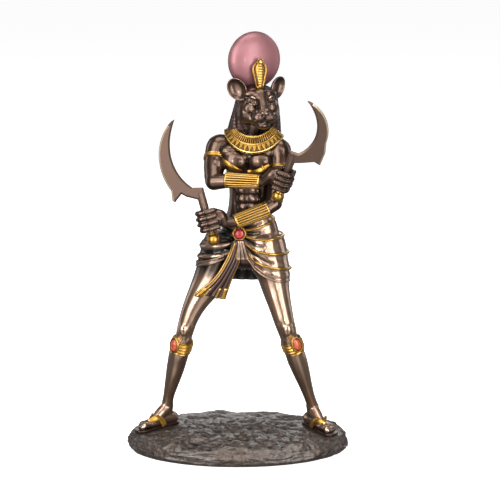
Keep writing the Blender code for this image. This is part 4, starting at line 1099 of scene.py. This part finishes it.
cuffs = {
    "right": {"start": (-7.6, -16.1, 176.2), "end": (15.4, -21.2, 176.0), "wide": 5.3, "narrow": 4.5},
    "left": {"start": (20.6, -13.6, 156.4), "end": (-1.6, -18.6, 148.6), "wide": 5.7, "narrow": 4.7},
    "flutes": 17, "groove": 0.8, "wearAndShade": 0.62,
}
for side in ("right", "left"):
    cuff = cuffs[side]
    start, end = place(*cuff["start"]), place(*cuff["end"])
    along = frameAlong(start, end)
    length = (end - start).length / unit

    def cuffShape(u, v):
        z = v * length
        radius = cuff["wide"] + (cuff["narrow"] - cuff["wide"]) * v
        rim = max(math.exp(-((z - 0.8) / 0.6) ** 4), math.exp(-((length - z - 0.8) / 0.6) ** 4))
        edge = min(1.0, min(z, length - z) / 0.35)
        flute = cuffs["groove"] * (abs(math.sin(u * math.pi * cuffs["flutes"])) ** 0.8 - 1)
        radius += flute * (1 - rim) + 0.12 * rim - 0.5 * (1 - edge)
        return along @ onRing(u, radius * unit, radius * unit, z * unit)

    cuffPiece = sheetPiece(f"{side}Cuff", 264, 46, cuffShape, closed=True)
    giveWall(cuffPiece, 0.9 * unit)
    finishPiece(cuffPiece, "antiqueGold")
    unturned = along.inverted()

    def cuffWear(point):
        spot = unturned @ point / unit
        full = cuff["wide"] + (cuff["narrow"] - cuff["wide"]) * spot.z / length
        return cuffs["wearAndShade"] - 0.9 * (full - math.hypot(spot.x, spot.y)) / cuffs["groove"]

    wearBy(cuffPiece, cuffWear)


def bandPiece(name, centre, axis, radii, profile):
    # A moulded band round a limb.
    along = frameAlong(centre, centre + axis)
    outline = smoothPath(profile, 5)

    def shape(u, v):
        z, out = outline[int(round(v * (len(outline) - 1)))]
        return along @ onRing(u, (radii[0] + out) * unit, (radii[1] + out) * unit, z * unit)

    made = sheetPiece(name, 96, len(outline) - 1, shape, closed=True)
    giveWall(made, 0.6 * unit)
    return made


bands = {
    "garterProfile": [(-5.0, -0.2), (-4.6, 0.9), (-3.7, 0.4), (-3.3, 0.5), (-2.4, 1.45), (-1.5, 0.6), (-1.1, 0.6),
                      (-0.1, 1.5), (0.8, 0.6), (1.2, 0.6), (2.1, 1.45), (3.0, 0.6), (3.4, 0.5), (4.5, 0.95),
                      (5.0, -0.2)],
    "armletProfile": [(-1.7, -0.2), (-1.3, 0.75), (-0.6, 0.5), (0, 0.8), (0.6, 0.5), (1.3, 0.75), (1.7, -0.2)],
    "rightGarter": {"from": (-36.4, -2.4, 65.5), "to": (-39.2, 0.6, 55.2), "centre": (-37.8, -0.9, 60.4),
                    "radii": (6.3, 6.3)},
    "leftGarter": {"from": (35.6, -9.4, 67.6), "to": (39.2, -6.0, 57.0), "centre": (37.3, -7.8, 62.2),
                   "radii": (6.2, 6.2)},
    "rightArmlet": {"from": (-14.6, -0.6, 188.2), "to": (-15.4, -4.9, 182.6), "centre": (-14.6, -0.6, 188.2),
                    "radii": (6.9, 6.9)},
    "leftArmlet": {"from": (28.4, -5.2, 183.4), "to": (27.2, -7.4, 174.5), "centre": (28.4, -5.2, 183.4),
                   "radii": (6.5, 6.5)},
    "breast": [([(-9.8, 188.6), (-6, 185.4), (-1.5, 182.4), (3.6, 180.6)], 2.3),
               ([(6.8, 180.4), (12, 181.2), (17, 183.0), (21.2, 186.0)], 2.3),
               ([(16.4, 183.2), (18.2, 184.2)], 2.7)],
}
for name in ("rightGarter", "leftGarter", "rightArmlet", "leftArmlet"):
    band = bands[name]
    profile = bands["garterProfile"] if "Garter" in name else bands["armletProfile"]
    piece = bandPiece(name, place(*band["centre"]), place(*band["to"]) - place(*band["from"]), band["radii"], profile)
    finishPiece(piece, "antiqueGold", reach=0.00026, rounds=5)

strands = [tubePiece("strand", frontLine(trunkTree, keys, 10), radius * unit, 14, 0.6, 0.42)
           for keys, radius in bands["breast"]]
strandPiece = joined("breastBands", strands)
finishPiece(strandPiece, "antiqueGold", reach=0.0004, rounds=6)
print("collar, cuffs and bands made")


def jewelFrame(spot, out, up=Vector((0, 0, 1))):
    z = Vector(out).normalized()
    y = (up - z * up.dot(z)).normalized()
    return Matrix.Translation(place(*spot)) @ Matrix((y.cross(z), y, z)).transposed().to_4x4()


jewels = {
    "belt_stone": {"frame": jewelFrame((1.6, -11.4, 139.4), (-0.1, -1, 0.12)), "radii": (0.0034, 0.0034), "sides": 6},
    "garter_stone_right": {"frame": jewelFrame((-42.0, -6.3, 61.6), (-0.62, -0.78, 0.05), Vector((0.24, 0.1, 1))),
                           "radii": (0.0027, 0.0043), "sides": 0},
    "garter_stone_left": {"frame": jewelFrame((39.6, -14.6, 64.4), (0.42, -0.9, 0.1), Vector((-0.34, -0.3, 1))),
                          "radii": (0.0027, 0.0043), "sides": 0},
}
stone = {"seat": 0.0010, "dome": 0.0018, "wall": 0.12,
         "bezel": [(-0.0010, -0.0030), (0.0013, -0.0030), (0.0013, 0.0009), (0.0010, 0.0014), (0.0006, 0.0017),
                   (0.0003, 0.0015), (0.00012, 0.0010), (-0.0010, 0.0008)]}
for node, jewel in jewels.items():
    rx, ry = jewel["radii"]

    def stoneShape(u, v):
        polar = math.pi / 2 * max(0.0, (v - stone["wall"]) / (1 - stone["wall"]))
        share = math.cos(polar) if v > 1e-6 else 0.0
        return jewel["frame"] @ onRing(u, rx * share, ry * share, stone["seat"] + stone["dome"] * math.sin(polar))

    stonePiece = sheetPiece(node + "_gem", 40, 24, stoneShape, closed=True)
    finishPiece(stonePiece, "crimsonStone" if node == "belt_stone" else "orangeStone")
    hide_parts(node)

    def bezelShape(u, v):
        grow, z = stone["bezel"][int(round(v * 7))]
        corner = 0.0
        if jewel["sides"] and grow > 0.0005:
            corner = 0.00022 * math.cos(2 * math.pi * u * jewel["sides"])
        return jewel["frame"] @ onRing(u, rx + grow + corner, ry + grow + corner, z)

    bezelPiece = sheetPiece(node + "_bezel", 72, 7, bezelShape, closed=True)
    finishPiece(bezelPiece, "antiqueGold", reach=0.0002, rounds=3)
print("jewels made")


cobra = {
    "spine": [(-5.0, 11.0, 1.5, 1.2), (-5.4, 13.2, 2.6, 1.6), (-5.6, 16.2, 3.4, 1.6), (-5.6, 19.8, 4.2, 1.4),
              (-5.4, 23.6, 5.1, 1.3), (-5.0, 26.4, 4.8, 1.3), (-4.8, 28.6, 3.0, 1.4), (-5.0, 30.0, 1.7, 1.4)],
    "face": (0, -6.6, 30.0), "faceRadii": (1.9, 2.8, 1.5), "eye": (1.35, -7.6, 31.2), "eyeRadius": 0.5,
    "dish": 0.95, "rimAt": 0.62, "belly": 0.4, "scaleDepth": 0.3, "scalePitch": 3.6,
}
cobraPath = smoothPath(cobra["spine"], 10)


def cobraShape(u, v):
    y, z, half, thick = cobraPath[int(round(v * (len(cobraPath) - 1)))]
    turn = 2 * math.pi * u
    x, out = math.cos(turn), math.sin(turn)
    dish = 0.0
    if out < 0 and half > 2.6:  # the hood's front is hollow between its rims, with a ribbed belly down the middle
        across = abs(x)
        dish = cobra["dish"] * math.exp(-((across - cobra["rimAt"]) / 0.18) ** 2)
        if across < cobra["belly"]:
            dish += cobra["scaleDepth"] * max(0, math.sin(z * cobra["scalePitch"])) - 0.2
    cap = 0.0 if v in (0.0, 1.0) else 1.0
    return headFrame @ (Vector((half * x * cap, y + (thick * out + dish) * cap, z)) * unit)


cobraBody = sheetPiece("cobraBody", 64, len(cobraPath) - 1, cobraShape, closed=True)
bm = bmesh.new()
bmesh.ops.create_uvsphere(bm, u_segments=24, v_segments=16, radius=1.0, matrix=headFrame
                          @ Matrix.Translation(Vector(cobra["face"]) * unit) @ Matrix.Rotation(0.35, 4, "X")
                          @ Matrix.Diagonal((*(radius * unit for radius in cobra["faceRadii"]), 1)))
x, y, z = cobra["eye"]
for side in (-1, 1):
    bmesh.ops.create_uvsphere(bm, u_segments=12, v_segments=8, radius=cobra["eyeRadius"] * unit, matrix=headFrame
                              @ Matrix.Translation(Vector((side * x, y, z)) * unit))
cobraHead = newPiece("cobraHead", bm)
cobraPiece = joined("cobra", [cobraBody, cobraHead])
finishPiece(cobraPiece, "antiqueGold", reach=0.00024, rounds=8)
print("cobra made")


sandals = {"lift": 0.0003, "bevel": 0.00025, "strapEnds": (5.4, -6.0), "strap": 2.5, "strapFlat": 0.42,
           "thong": 0.85, "knot": (20.4, 1.9, 6.2), "knotRadii": (1.7, 1.5, 1.1)}
for side in ("right", "left"):
    where = footFrame(feet[side])
    bm = bmesh.new()
    edge = [(x, inner) for x, inner, outer in smoothPath(feet["soleEdge"], 4)]
    edge += [(x, outer) for x, inner, outer in reversed(smoothPath(feet["soleEdge"], 4))]
    low = sandals["lift"]
    verts = [bm.verts.new(Vector((x * unit, y * unit, low))) for x, y in edge]
    bottom = bm.faces.new(verts)
    pulled = bmesh.ops.extrude_face_region(bm, geom=[bottom])
    raised = [item for item in pulled["geom"] if isinstance(item, bmesh.types.BMVert)]
    bmesh.ops.translate(bm, vec=Vector((0, 0, figureSize["soleThickness"] - low)), verts=raised)
    bmesh.ops.remove_doubles(bm, verts=bm.verts, dist=1e-5)
    bmesh.ops.transform(bm, matrix=where, verts=bm.verts)
    bmesh.ops.recalc_face_normals(bm, faces=bm.faces)
    rims = [item for item in bm.edges if item.calc_face_angle(0) > 1.0]
    bmesh.ops.bevel(bm, geom=rims, offset=sandals["bevel"], offset_type="OFFSET", segments=2, profile=0.5,
                    affect="EDGES", material=-1)
    solePiece = newPiece(f"{side}Sole", bm)
    finishPiece(solePiece, "hairBronze", reach=0.0003, rounds=3, sharp=40)
    straps = []
    for y in sandals["strapEnds"]:
        keys = [(21.8, 1.8, 5.4), (17.5, 1.5 + y * 0.38, 7.3), (13.5, y * 0.78, 6.5), (10.5, y * 0.95, 1.6)]
        line = strokeBetween(where, keys, 6)
        straps.append(tubePiece("strap", line, sandals["strap"] * unit, 12, 0.1, sandals["strapFlat"]))
    keys = [(20.8, 1.8, 6.2), (22.4, 1.8, 5.2), (24.4, 1.8, 2.4)]
    straps.append(tubePiece("thong", strokeBetween(where, keys, 5), sandals["thong"] * unit, 8, 0.1))
    knot = bmesh.new()
    bmesh.ops.create_uvsphere(knot, u_segments=16, v_segments=10, radius=1.0, matrix=where
                              @ Matrix.Translation(Vector(sandals["knot"]) * unit)
                              @ Matrix.Diagonal((*(radius * unit for radius in sandals["knotRadii"]), 1)))
    straps.append(newPiece("knot", knot))
    strapPiece = joined(f"{side}Straps", straps)
    finishPiece(strapPiece, "antiqueGold", reach=0.0003, rounds=4)
print("sandals made")


swords = {
    "right": {"arc": (-10.6, 14.4), "inner": 20.2, "tip": 24.1, "bulge": 6.2, "from": -47.4, "to": 71.5,
              "outerFrom": 0.36, "flank": (19.8, 4.8), "spur": (19.4, -5.2), "notch": (15.0, -3.8),
              "under": (8.5, -6.4), "armLow": -8.4},
    "left": {"arc": (-19.2, 22.6), "inner": 31.2, "tip": 33.7, "bulge": 9.4, "from": -41.9, "to": 48.4,
             "outerFrom": 0.16, "flank": (19.2, -3.0), "spur": (17.8, -4.8), "notch": (12.1, -0.6),
             "under": (9.8, -2.9), "armLow": -6.9},
    "thickness": 0.0026, "bevel": 0.0012, "shaftWidth": 0.0057, "shaftLength": 0.0140, "gripRadius": 0.0020,
    "pommelRadius": 0.0042, "pommelDrop": 0.0133, "rise": 0.0215, "gripEnd": 0.003, "ferrule": 0.0012, "steps": 26,
}


def swordOutline(sword):
    # The blade's outline, from the shaft up the inner curve to the tip, back along the outer edge and down to the
    # shaft.
    steps = swords["steps"]

    def at(share, radius):
        angle = math.radians(sword["from"] + (sword["to"] - sword["from"]) * share)
        return (sword["arc"][0] + radius * math.cos(angle), sword["arc"][1] + radius * math.sin(angle))

    half, stem = swords["shaftWidth"] / unit / 2, swords["shaftLength"] / unit
    outline = [(-half, 0.0)]
    for i in range(steps):
        share = i / steps
        outline.append(at(share, sword["inner"] + (sword["tip"] - sword["inner"]) * share**5))
    outline.append(at(1.0, sword["tip"]))
    for i in range(1, steps):
        share = 1 - (1 - sword["outerFrom"]) * i / (steps - 1)
        outline.append(at(share, sword["tip"] + sword["bulge"] * (1 - share) ** 0.65))
    return outline + [sword["flank"], sword["spur"], sword["notch"], sword["under"], (half, sword["armLow"]),
                      (half, -stem), (-half, -stem)]


for side in ("right", "left"):
    sword = swords[side]
    hold = handFrame(hands[side])
    bladeFrame = hold @ Matrix.Translation((0, 0, swords["rise"]))
    outline = swordOutline(sword)
    bm = bmesh.new()
    edge = [bm.verts.new(Vector((x * unit, 0, z * unit))) for x, z in outline]
    steps = swords["steps"]
    outerEdge = {i for i in range(steps + 4, 2 * steps + 3)}
    middles = []
    for verts in (edge, list(reversed(edge))):
        middle = bm.faces.new(verts)
        bm.normal_update()
        ring = bmesh.ops.inset_region(bm, faces=[middle], thickness=swords["bevel"], depth=swords["thickness"] / 2,
                                      use_even_offset=True, use_boundary=True)
        for strip in ring["faces"]:
            owned = [edge.index(vert) for vert in strip.verts if vert in edge]
            if owned and all(i in outerEdge for i in owned):
                strip.material_index = 1
        middles.append(middle)
    for middle in middles:
        bmesh.ops.triangulate(bm, faces=[middle])
    bmesh.ops.transform(bm, matrix=bladeFrame, verts=bm.verts)
    bmesh.ops.recalc_face_normals(bm, faces=bm.faces)
    blade = newPiece(f"{side}Blade", bm)
    finishPiece(blade, "bladeBronze", sharp=18, extra=("rubbedEdge",))
    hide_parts(f"khopesh_{side}")
    wearBy(blade, lambda point: 0.5)  # a flat blade wears evenly

    bm = bmesh.new()
    low, high = -swords["pommelDrop"], swords["rise"] - swords["gripEnd"]
    bmesh.ops.create_cone(bm, cap_ends=True, segments=28, radius1=swords["gripRadius"], radius2=swords["gripRadius"],
                          depth=high - low, matrix=hold @ Matrix.Translation((0, 0, (low + high) / 2)))
    gripPiece = newPiece(f"{side}Grip", bm)
    finishPiece(gripPiece, "bladeBronze", sharp=40)
    bm = bmesh.new()
    bmesh.ops.create_uvsphere(bm, u_segments=40, v_segments=28, radius=swords["pommelRadius"],
                              matrix=hold @ Matrix.Translation((0, 0, low)))
    bmesh.ops.create_cone(bm, cap_ends=True, segments=28, radius1=swords["gripRadius"] * 1.5,
                          radius2=swords["gripRadius"] * 1.25, depth=swords["ferrule"],
                          matrix=hold @ Matrix.Translation((0, 0, low + swords["pommelRadius"])))
    pommel = newPiece(f"{side}Pommel", bm)
    finishPiece(pommel, "antiqueGold", sharp=40)
    wearBy(pommel, lambda point: 0.55)
print("swords made")


disc = {"radius": 0.0189, "thickness": 0.0165, "sink": 0.0038, "rim": 0.00055, "inset": 0.0003, "crown": 14.4}
discSpot = Vector((0, 6.4 * unit, disc["crown"] * unit + disc["radius"] - disc["sink"]))
discFrame = (headFrame @ Matrix.Translation(discSpot)
             @ Matrix.Rotation(math.radians(turns["disc"] - turns["head"]), 4, "Z"))
across = disc["radius"] - disc["inset"]
bm = bmesh.new()
bmesh.ops.create_uvsphere(bm, u_segments=96, v_segments=64, radius=1.0, matrix=discFrame
                          @ Matrix.Diagonal((across, disc["thickness"] / 2, across, 1)))
discPiece = newPiece("sunDisc", bm)
finishPiece(discPiece, "satinPink")
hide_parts("sun_disc")


def rimShape(u, v):
    turn, roll = 2 * math.pi * u, 2 * math.pi * v
    reach = disc["radius"] - disc["rim"] + disc["rim"] * math.cos(roll)
    return discFrame @ Vector((reach * math.cos(turn), disc["rim"] * 1.3 * math.sin(roll), reach * math.sin(turn)))


rimPiece = sheetPiece("discRim", 160, 12, rimShape, closed=True)
finishPiece(rimPiece, "skinBronze")
print("sun disc made")


rock = {"length": 0.152, "depth": 0.0915, "height": 0.013, "relief": 0.0024, "around": 300, "rings": 96,
        "chip": 0.0012, "bulge": 0.0024, "flatShare": 0.08, "sideShare": 0.36, "topShare": 0.56,
        "strataGrain": (42, 66), "chipGrain": (260, 320), "lumpGrain": (95, 140), "bulgeGrain": (62, 88),
        "footLength": 27, "footRoom": (0.0075, 0.0115),
        "sides": [(0.90, 0.0), (0.965, 0.0012), (0.995, 0.0036), (1.0, 0.0062), (0.985, 0.0086), (0.965, 0.0106),
                  (0.93, 0.0122)]}


def rockTop(x, y):
    # Strata that step up and down, level under the feet.
    strata, chips, lumpy, bulgy = (rock[key] for key in ("strataGrain", "chipGrain", "lumpGrain", "bulgeGrain"))
    wave = noise.fractal(Vector((x * strata[0] + 2, y * strata[1], 3.1)), 0.8, 2.1, 3) * 1.5
    steps = math.floor(wave * 2 + 0.5) / 2
    level = rock["height"] + rock["relief"] * (0.6 * steps + 0.4 * wave) - 0.0004
    rough = noise.fractal(Vector((x * chips[0], y * chips[1], 1.7)), 0.7, 2.2, 4)
    lumps = 0.5 - abs(noise.noise(Vector((x * lumpy[0], y * lumpy[1], 7.7))))
    bulge = 0.42 - abs(noise.noise(Vector((x * bulgy[0] + 5, y * bulgy[1], 2.2))))
    level += rock["chip"] * (0.5 * rough + 1.3 * lumps - 0.45) + rock["bulge"] * bulge
    level = rock["height"] + (level - rock["height"]) * (1 - 0.6 * float(smoothstep(0.012, 0.030, y)))  # calmer behind
    for side in ("right", "left"):
        footPlace = footFrame(feet[side])
        heel = footPlace.translation.to_2d()
        toe = (footPlace @ Vector((rock["footLength"] * unit, 0, 0))).to_2d()
        along = toe - heel
        share = min(1, max(0, (Vector((x, y)) - heel).dot(along) / along.length_squared))
        away = (Vector((x, y)) - heel - along * share).length
        keep = float(smoothstep(*rock["footRoom"], away))
        level = rock["height"] * (1 - keep) + level * keep
    return level


def rockShape(u, v):
    # The flat underside, then the ragged sides, then the top.
    turn = 2 * math.pi * u
    across, along = math.cos(turn), math.sin(turn)
    sides = rock["sides"]
    if v < rock["flatShare"]:
        share = sides[0][0] * v / rock["flatShare"]
        return Vector((share * across * rock["length"] / 2, share * along * rock["depth"] / 2, 0.0))
    rise = (v - rock["flatShare"]) / rock["sideShare"]
    if rise <= 1.0:
        at = rise * (len(sides) - 1)
        i = min(int(at), len(sides) - 2)
        share = sides[i][0] + (sides[i + 1][0] - sides[i][0]) * (at - i)
        level = sides[i][1] + (sides[i + 1][1] - sides[i][1]) * (at - i)
    else:
        inward = (v - rock["flatShare"] - rock["sideShare"]) / rock["topShare"]
        share, level = sides[-1][0] * (1 - inward), None
    x, y = share * across * rock["length"] / 2, share * along * rock["depth"] / 2
    if level is None:
        return Vector((x, y, rockTop(x, y)))
    crag = 0.02 * noise.fractal(Vector((across * 2.6, along * 2.6, level * 260)), 0.8, 2.0, 3)
    crag += 0.010 * noise.fractal(Vector((across * 17, along * 17, level * 620)), 0.7, 2.2, 4)
    crag -= 0.012 * abs(noise.noise(Vector((across * 7, along * 7, level * 900 + across * 3))))
    fade = min(1.0, rise * 3)
    reach = share + (crag - 0.006) * fade
    x, y = reach * across * rock["length"] / 2, reach * along * rock["depth"] / 2
    if rise > 0.8:
        mix = (rise - 0.8) / 0.2
        level = level * (1 - mix) + rockTop(x, y) * mix
    return Vector((x, y, level))


rockPiece = sheetPiece("rock", rock["around"], rock["rings"], rockShape, closed=True)
points, _ = pointsOf(rockPiece.data)
for axis, size in ((0, rock["length"]), (1, rock["depth"])):
    low, high = points[:, axis].min(), points[:, axis].max()
    points[:, axis] = ((points[:, axis] - low) / (high - low) - 0.5) * size
setPoints(rockPiece.data, points)
finishPiece(rockPiece, "rockBronze", reach=0.0010, rounds=14)
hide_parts("rock_base")
print("rock made")


studio = {
    "floor": 0.9, "glow": 0.8, "target": (0.0086, 0.0, 0.1389), "elevation": 12, "distance": 1.2, "lens": 128.9,
    "air": [(0.0, 0.14), (0.30, 0.22), (0.47, 0.26), (0.52, 0.14), (0.7, 0.11), (1.0, 0.25)],  # from below to above
    "cards": [((-0.50, -0.83, -0.24), 1.6), ((0.50, -0.83, -0.24), 1.3), ((-0.30, -0.72, -0.62), 1.2),
              ((0.42, -0.66, -0.62), 1.0), ((0.0, 0.95, -0.3), 0.6)],
    "cardEdge": (0.93, 0.985),
}
bpy.context.scene.view_settings.view_transform = "Standard"
bm = bmesh.new()
bmesh.ops.create_grid(bm, x_segments=1, y_segments=1, size=12.0)
floor = newPiece("studioFloor", bm)
floorPaint, tree, paper = blankMaterial("studioPaper")
setInputs(tree, paper, {"Base Color": (studio["floor"], studio["floor"], studio["floor"], 1), "Roughness": 0.9,
                        "Emission Color": (1, 1, 1, 1), "Emission Strength": studio["glow"]})
floor.data.materials.append(floorPaint)
floor.visible_glossy = False  # polished bronze shows the softboxes, not the paper
floor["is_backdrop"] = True

world = bpy.data.worlds.new("studioAir")
bpy.context.scene.world = world
world.use_nodes = True
tree = world.node_tree
direction = addNode(tree, "ShaderNodeTexCoord", {}).outputs["Generated"]
upward = addNode(tree, "ShaderNodeSeparateXYZ", {"Vector": direction}).outputs["Z"]
height = addNode(tree, "ShaderNodeMapRange", {"Value": upward, "From Min": -1.0}).outputs["Result"]
lit = colourRamp(tree, height, [(position, (level, level, level)) for position, level in studio["air"]])
low, high = studio["cardEdge"]
for toward, level in studio["cards"]:  # pale cards low round the figurine, seen only in the bronze
    card = {0: direction, 1: Vector(toward).normalized()}
    facing = addNode(tree, "ShaderNodeVectorMath", card, "DOT_PRODUCT").outputs["Value"]
    patch = addNode(tree, "ShaderNodeMapRange", {"Value": facing, "From Min": low, "From Max": high, "To Max": level})
    patch.interpolation_type = "SMOOTHSTEP"
    lit = addNode(tree, "ShaderNodeVectorMath", {0: lit, 1: patch.outputs["Result"]}, "ADD").outputs["Vector"]
setInputs(tree, tree.nodes["Background"], {"Color": lit})

softboxes = {  # each one's place, size and power
    "frontLeft": ((-0.47, -0.67, 0.52), (0.50, 0.85), 11),
    "frontRight": ((0.54, -0.70, 0.34), (0.34, 0.9), 9),
    "sparkLeft": ((-0.40, -0.80, 0.20), (0.08, 0.14), 1.7),
    "sparkRight": ((0.30, -0.88, 0.22), (0.07, 0.12), 1.2),
    "frontTop": ((0.10, -0.85, 0.75), (0.5, 0.35), 2.6),
    "edgeLeft": ((-0.70, 0.33, 0.36), (0.10, 0.9), 1.2),
    "edgeRight": ((0.72, 0.30, 0.36), (0.10, 0.9), 1.2),
    "backLight": ((0.10, 1.00, 0.50), (0.9, 0.3), 3),
    "topLight": ((0.05, -0.15, 1.05), (0.7, 0.5), 7),
}
for name, (spot, size, power) in softboxes.items():
    lamp = bpy.data.lights.new(name, "AREA")
    lamp.shape = "RECTANGLE"
    lamp.size, lamp.size_y = size
    lamp.energy = power
    light = bpy.data.objects.new(name, lamp)
    light.location = spot
    light.rotation_euler = (Vector(studio["target"]) - Vector(spot)).to_track_quat("-Z", "Y").to_euler()
    collection.objects.link(light)

camera = bpy.data.cameras.new("viewCamera")
camera.lens = studio["lens"]
camera.sensor_width = 36
camera.clip_start, camera.clip_end = 0.05, 20
viewpoint = bpy.data.objects.new("viewCamera", camera)
lift = math.radians(studio["elevation"])
away = Vector((0, -math.cos(lift), math.sin(lift))) * studio["distance"]
viewpoint.location = Vector(studio["target"]) + away
viewpoint.rotation_euler = (-away).to_track_quat("-Z", "Y").to_euler()
collection.objects.link(viewpoint)
bpy.context.scene.camera = viewpoint

total = sum(len(poly.vertices) - 2 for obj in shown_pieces() for poly in obj.data.polygons)
print("studio ready,", total, "triangles in the figurine")
low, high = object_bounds()
{"cad": [list(cadBox[0]), list(cadBox[1])], "visual": [list(low), list(high)]}
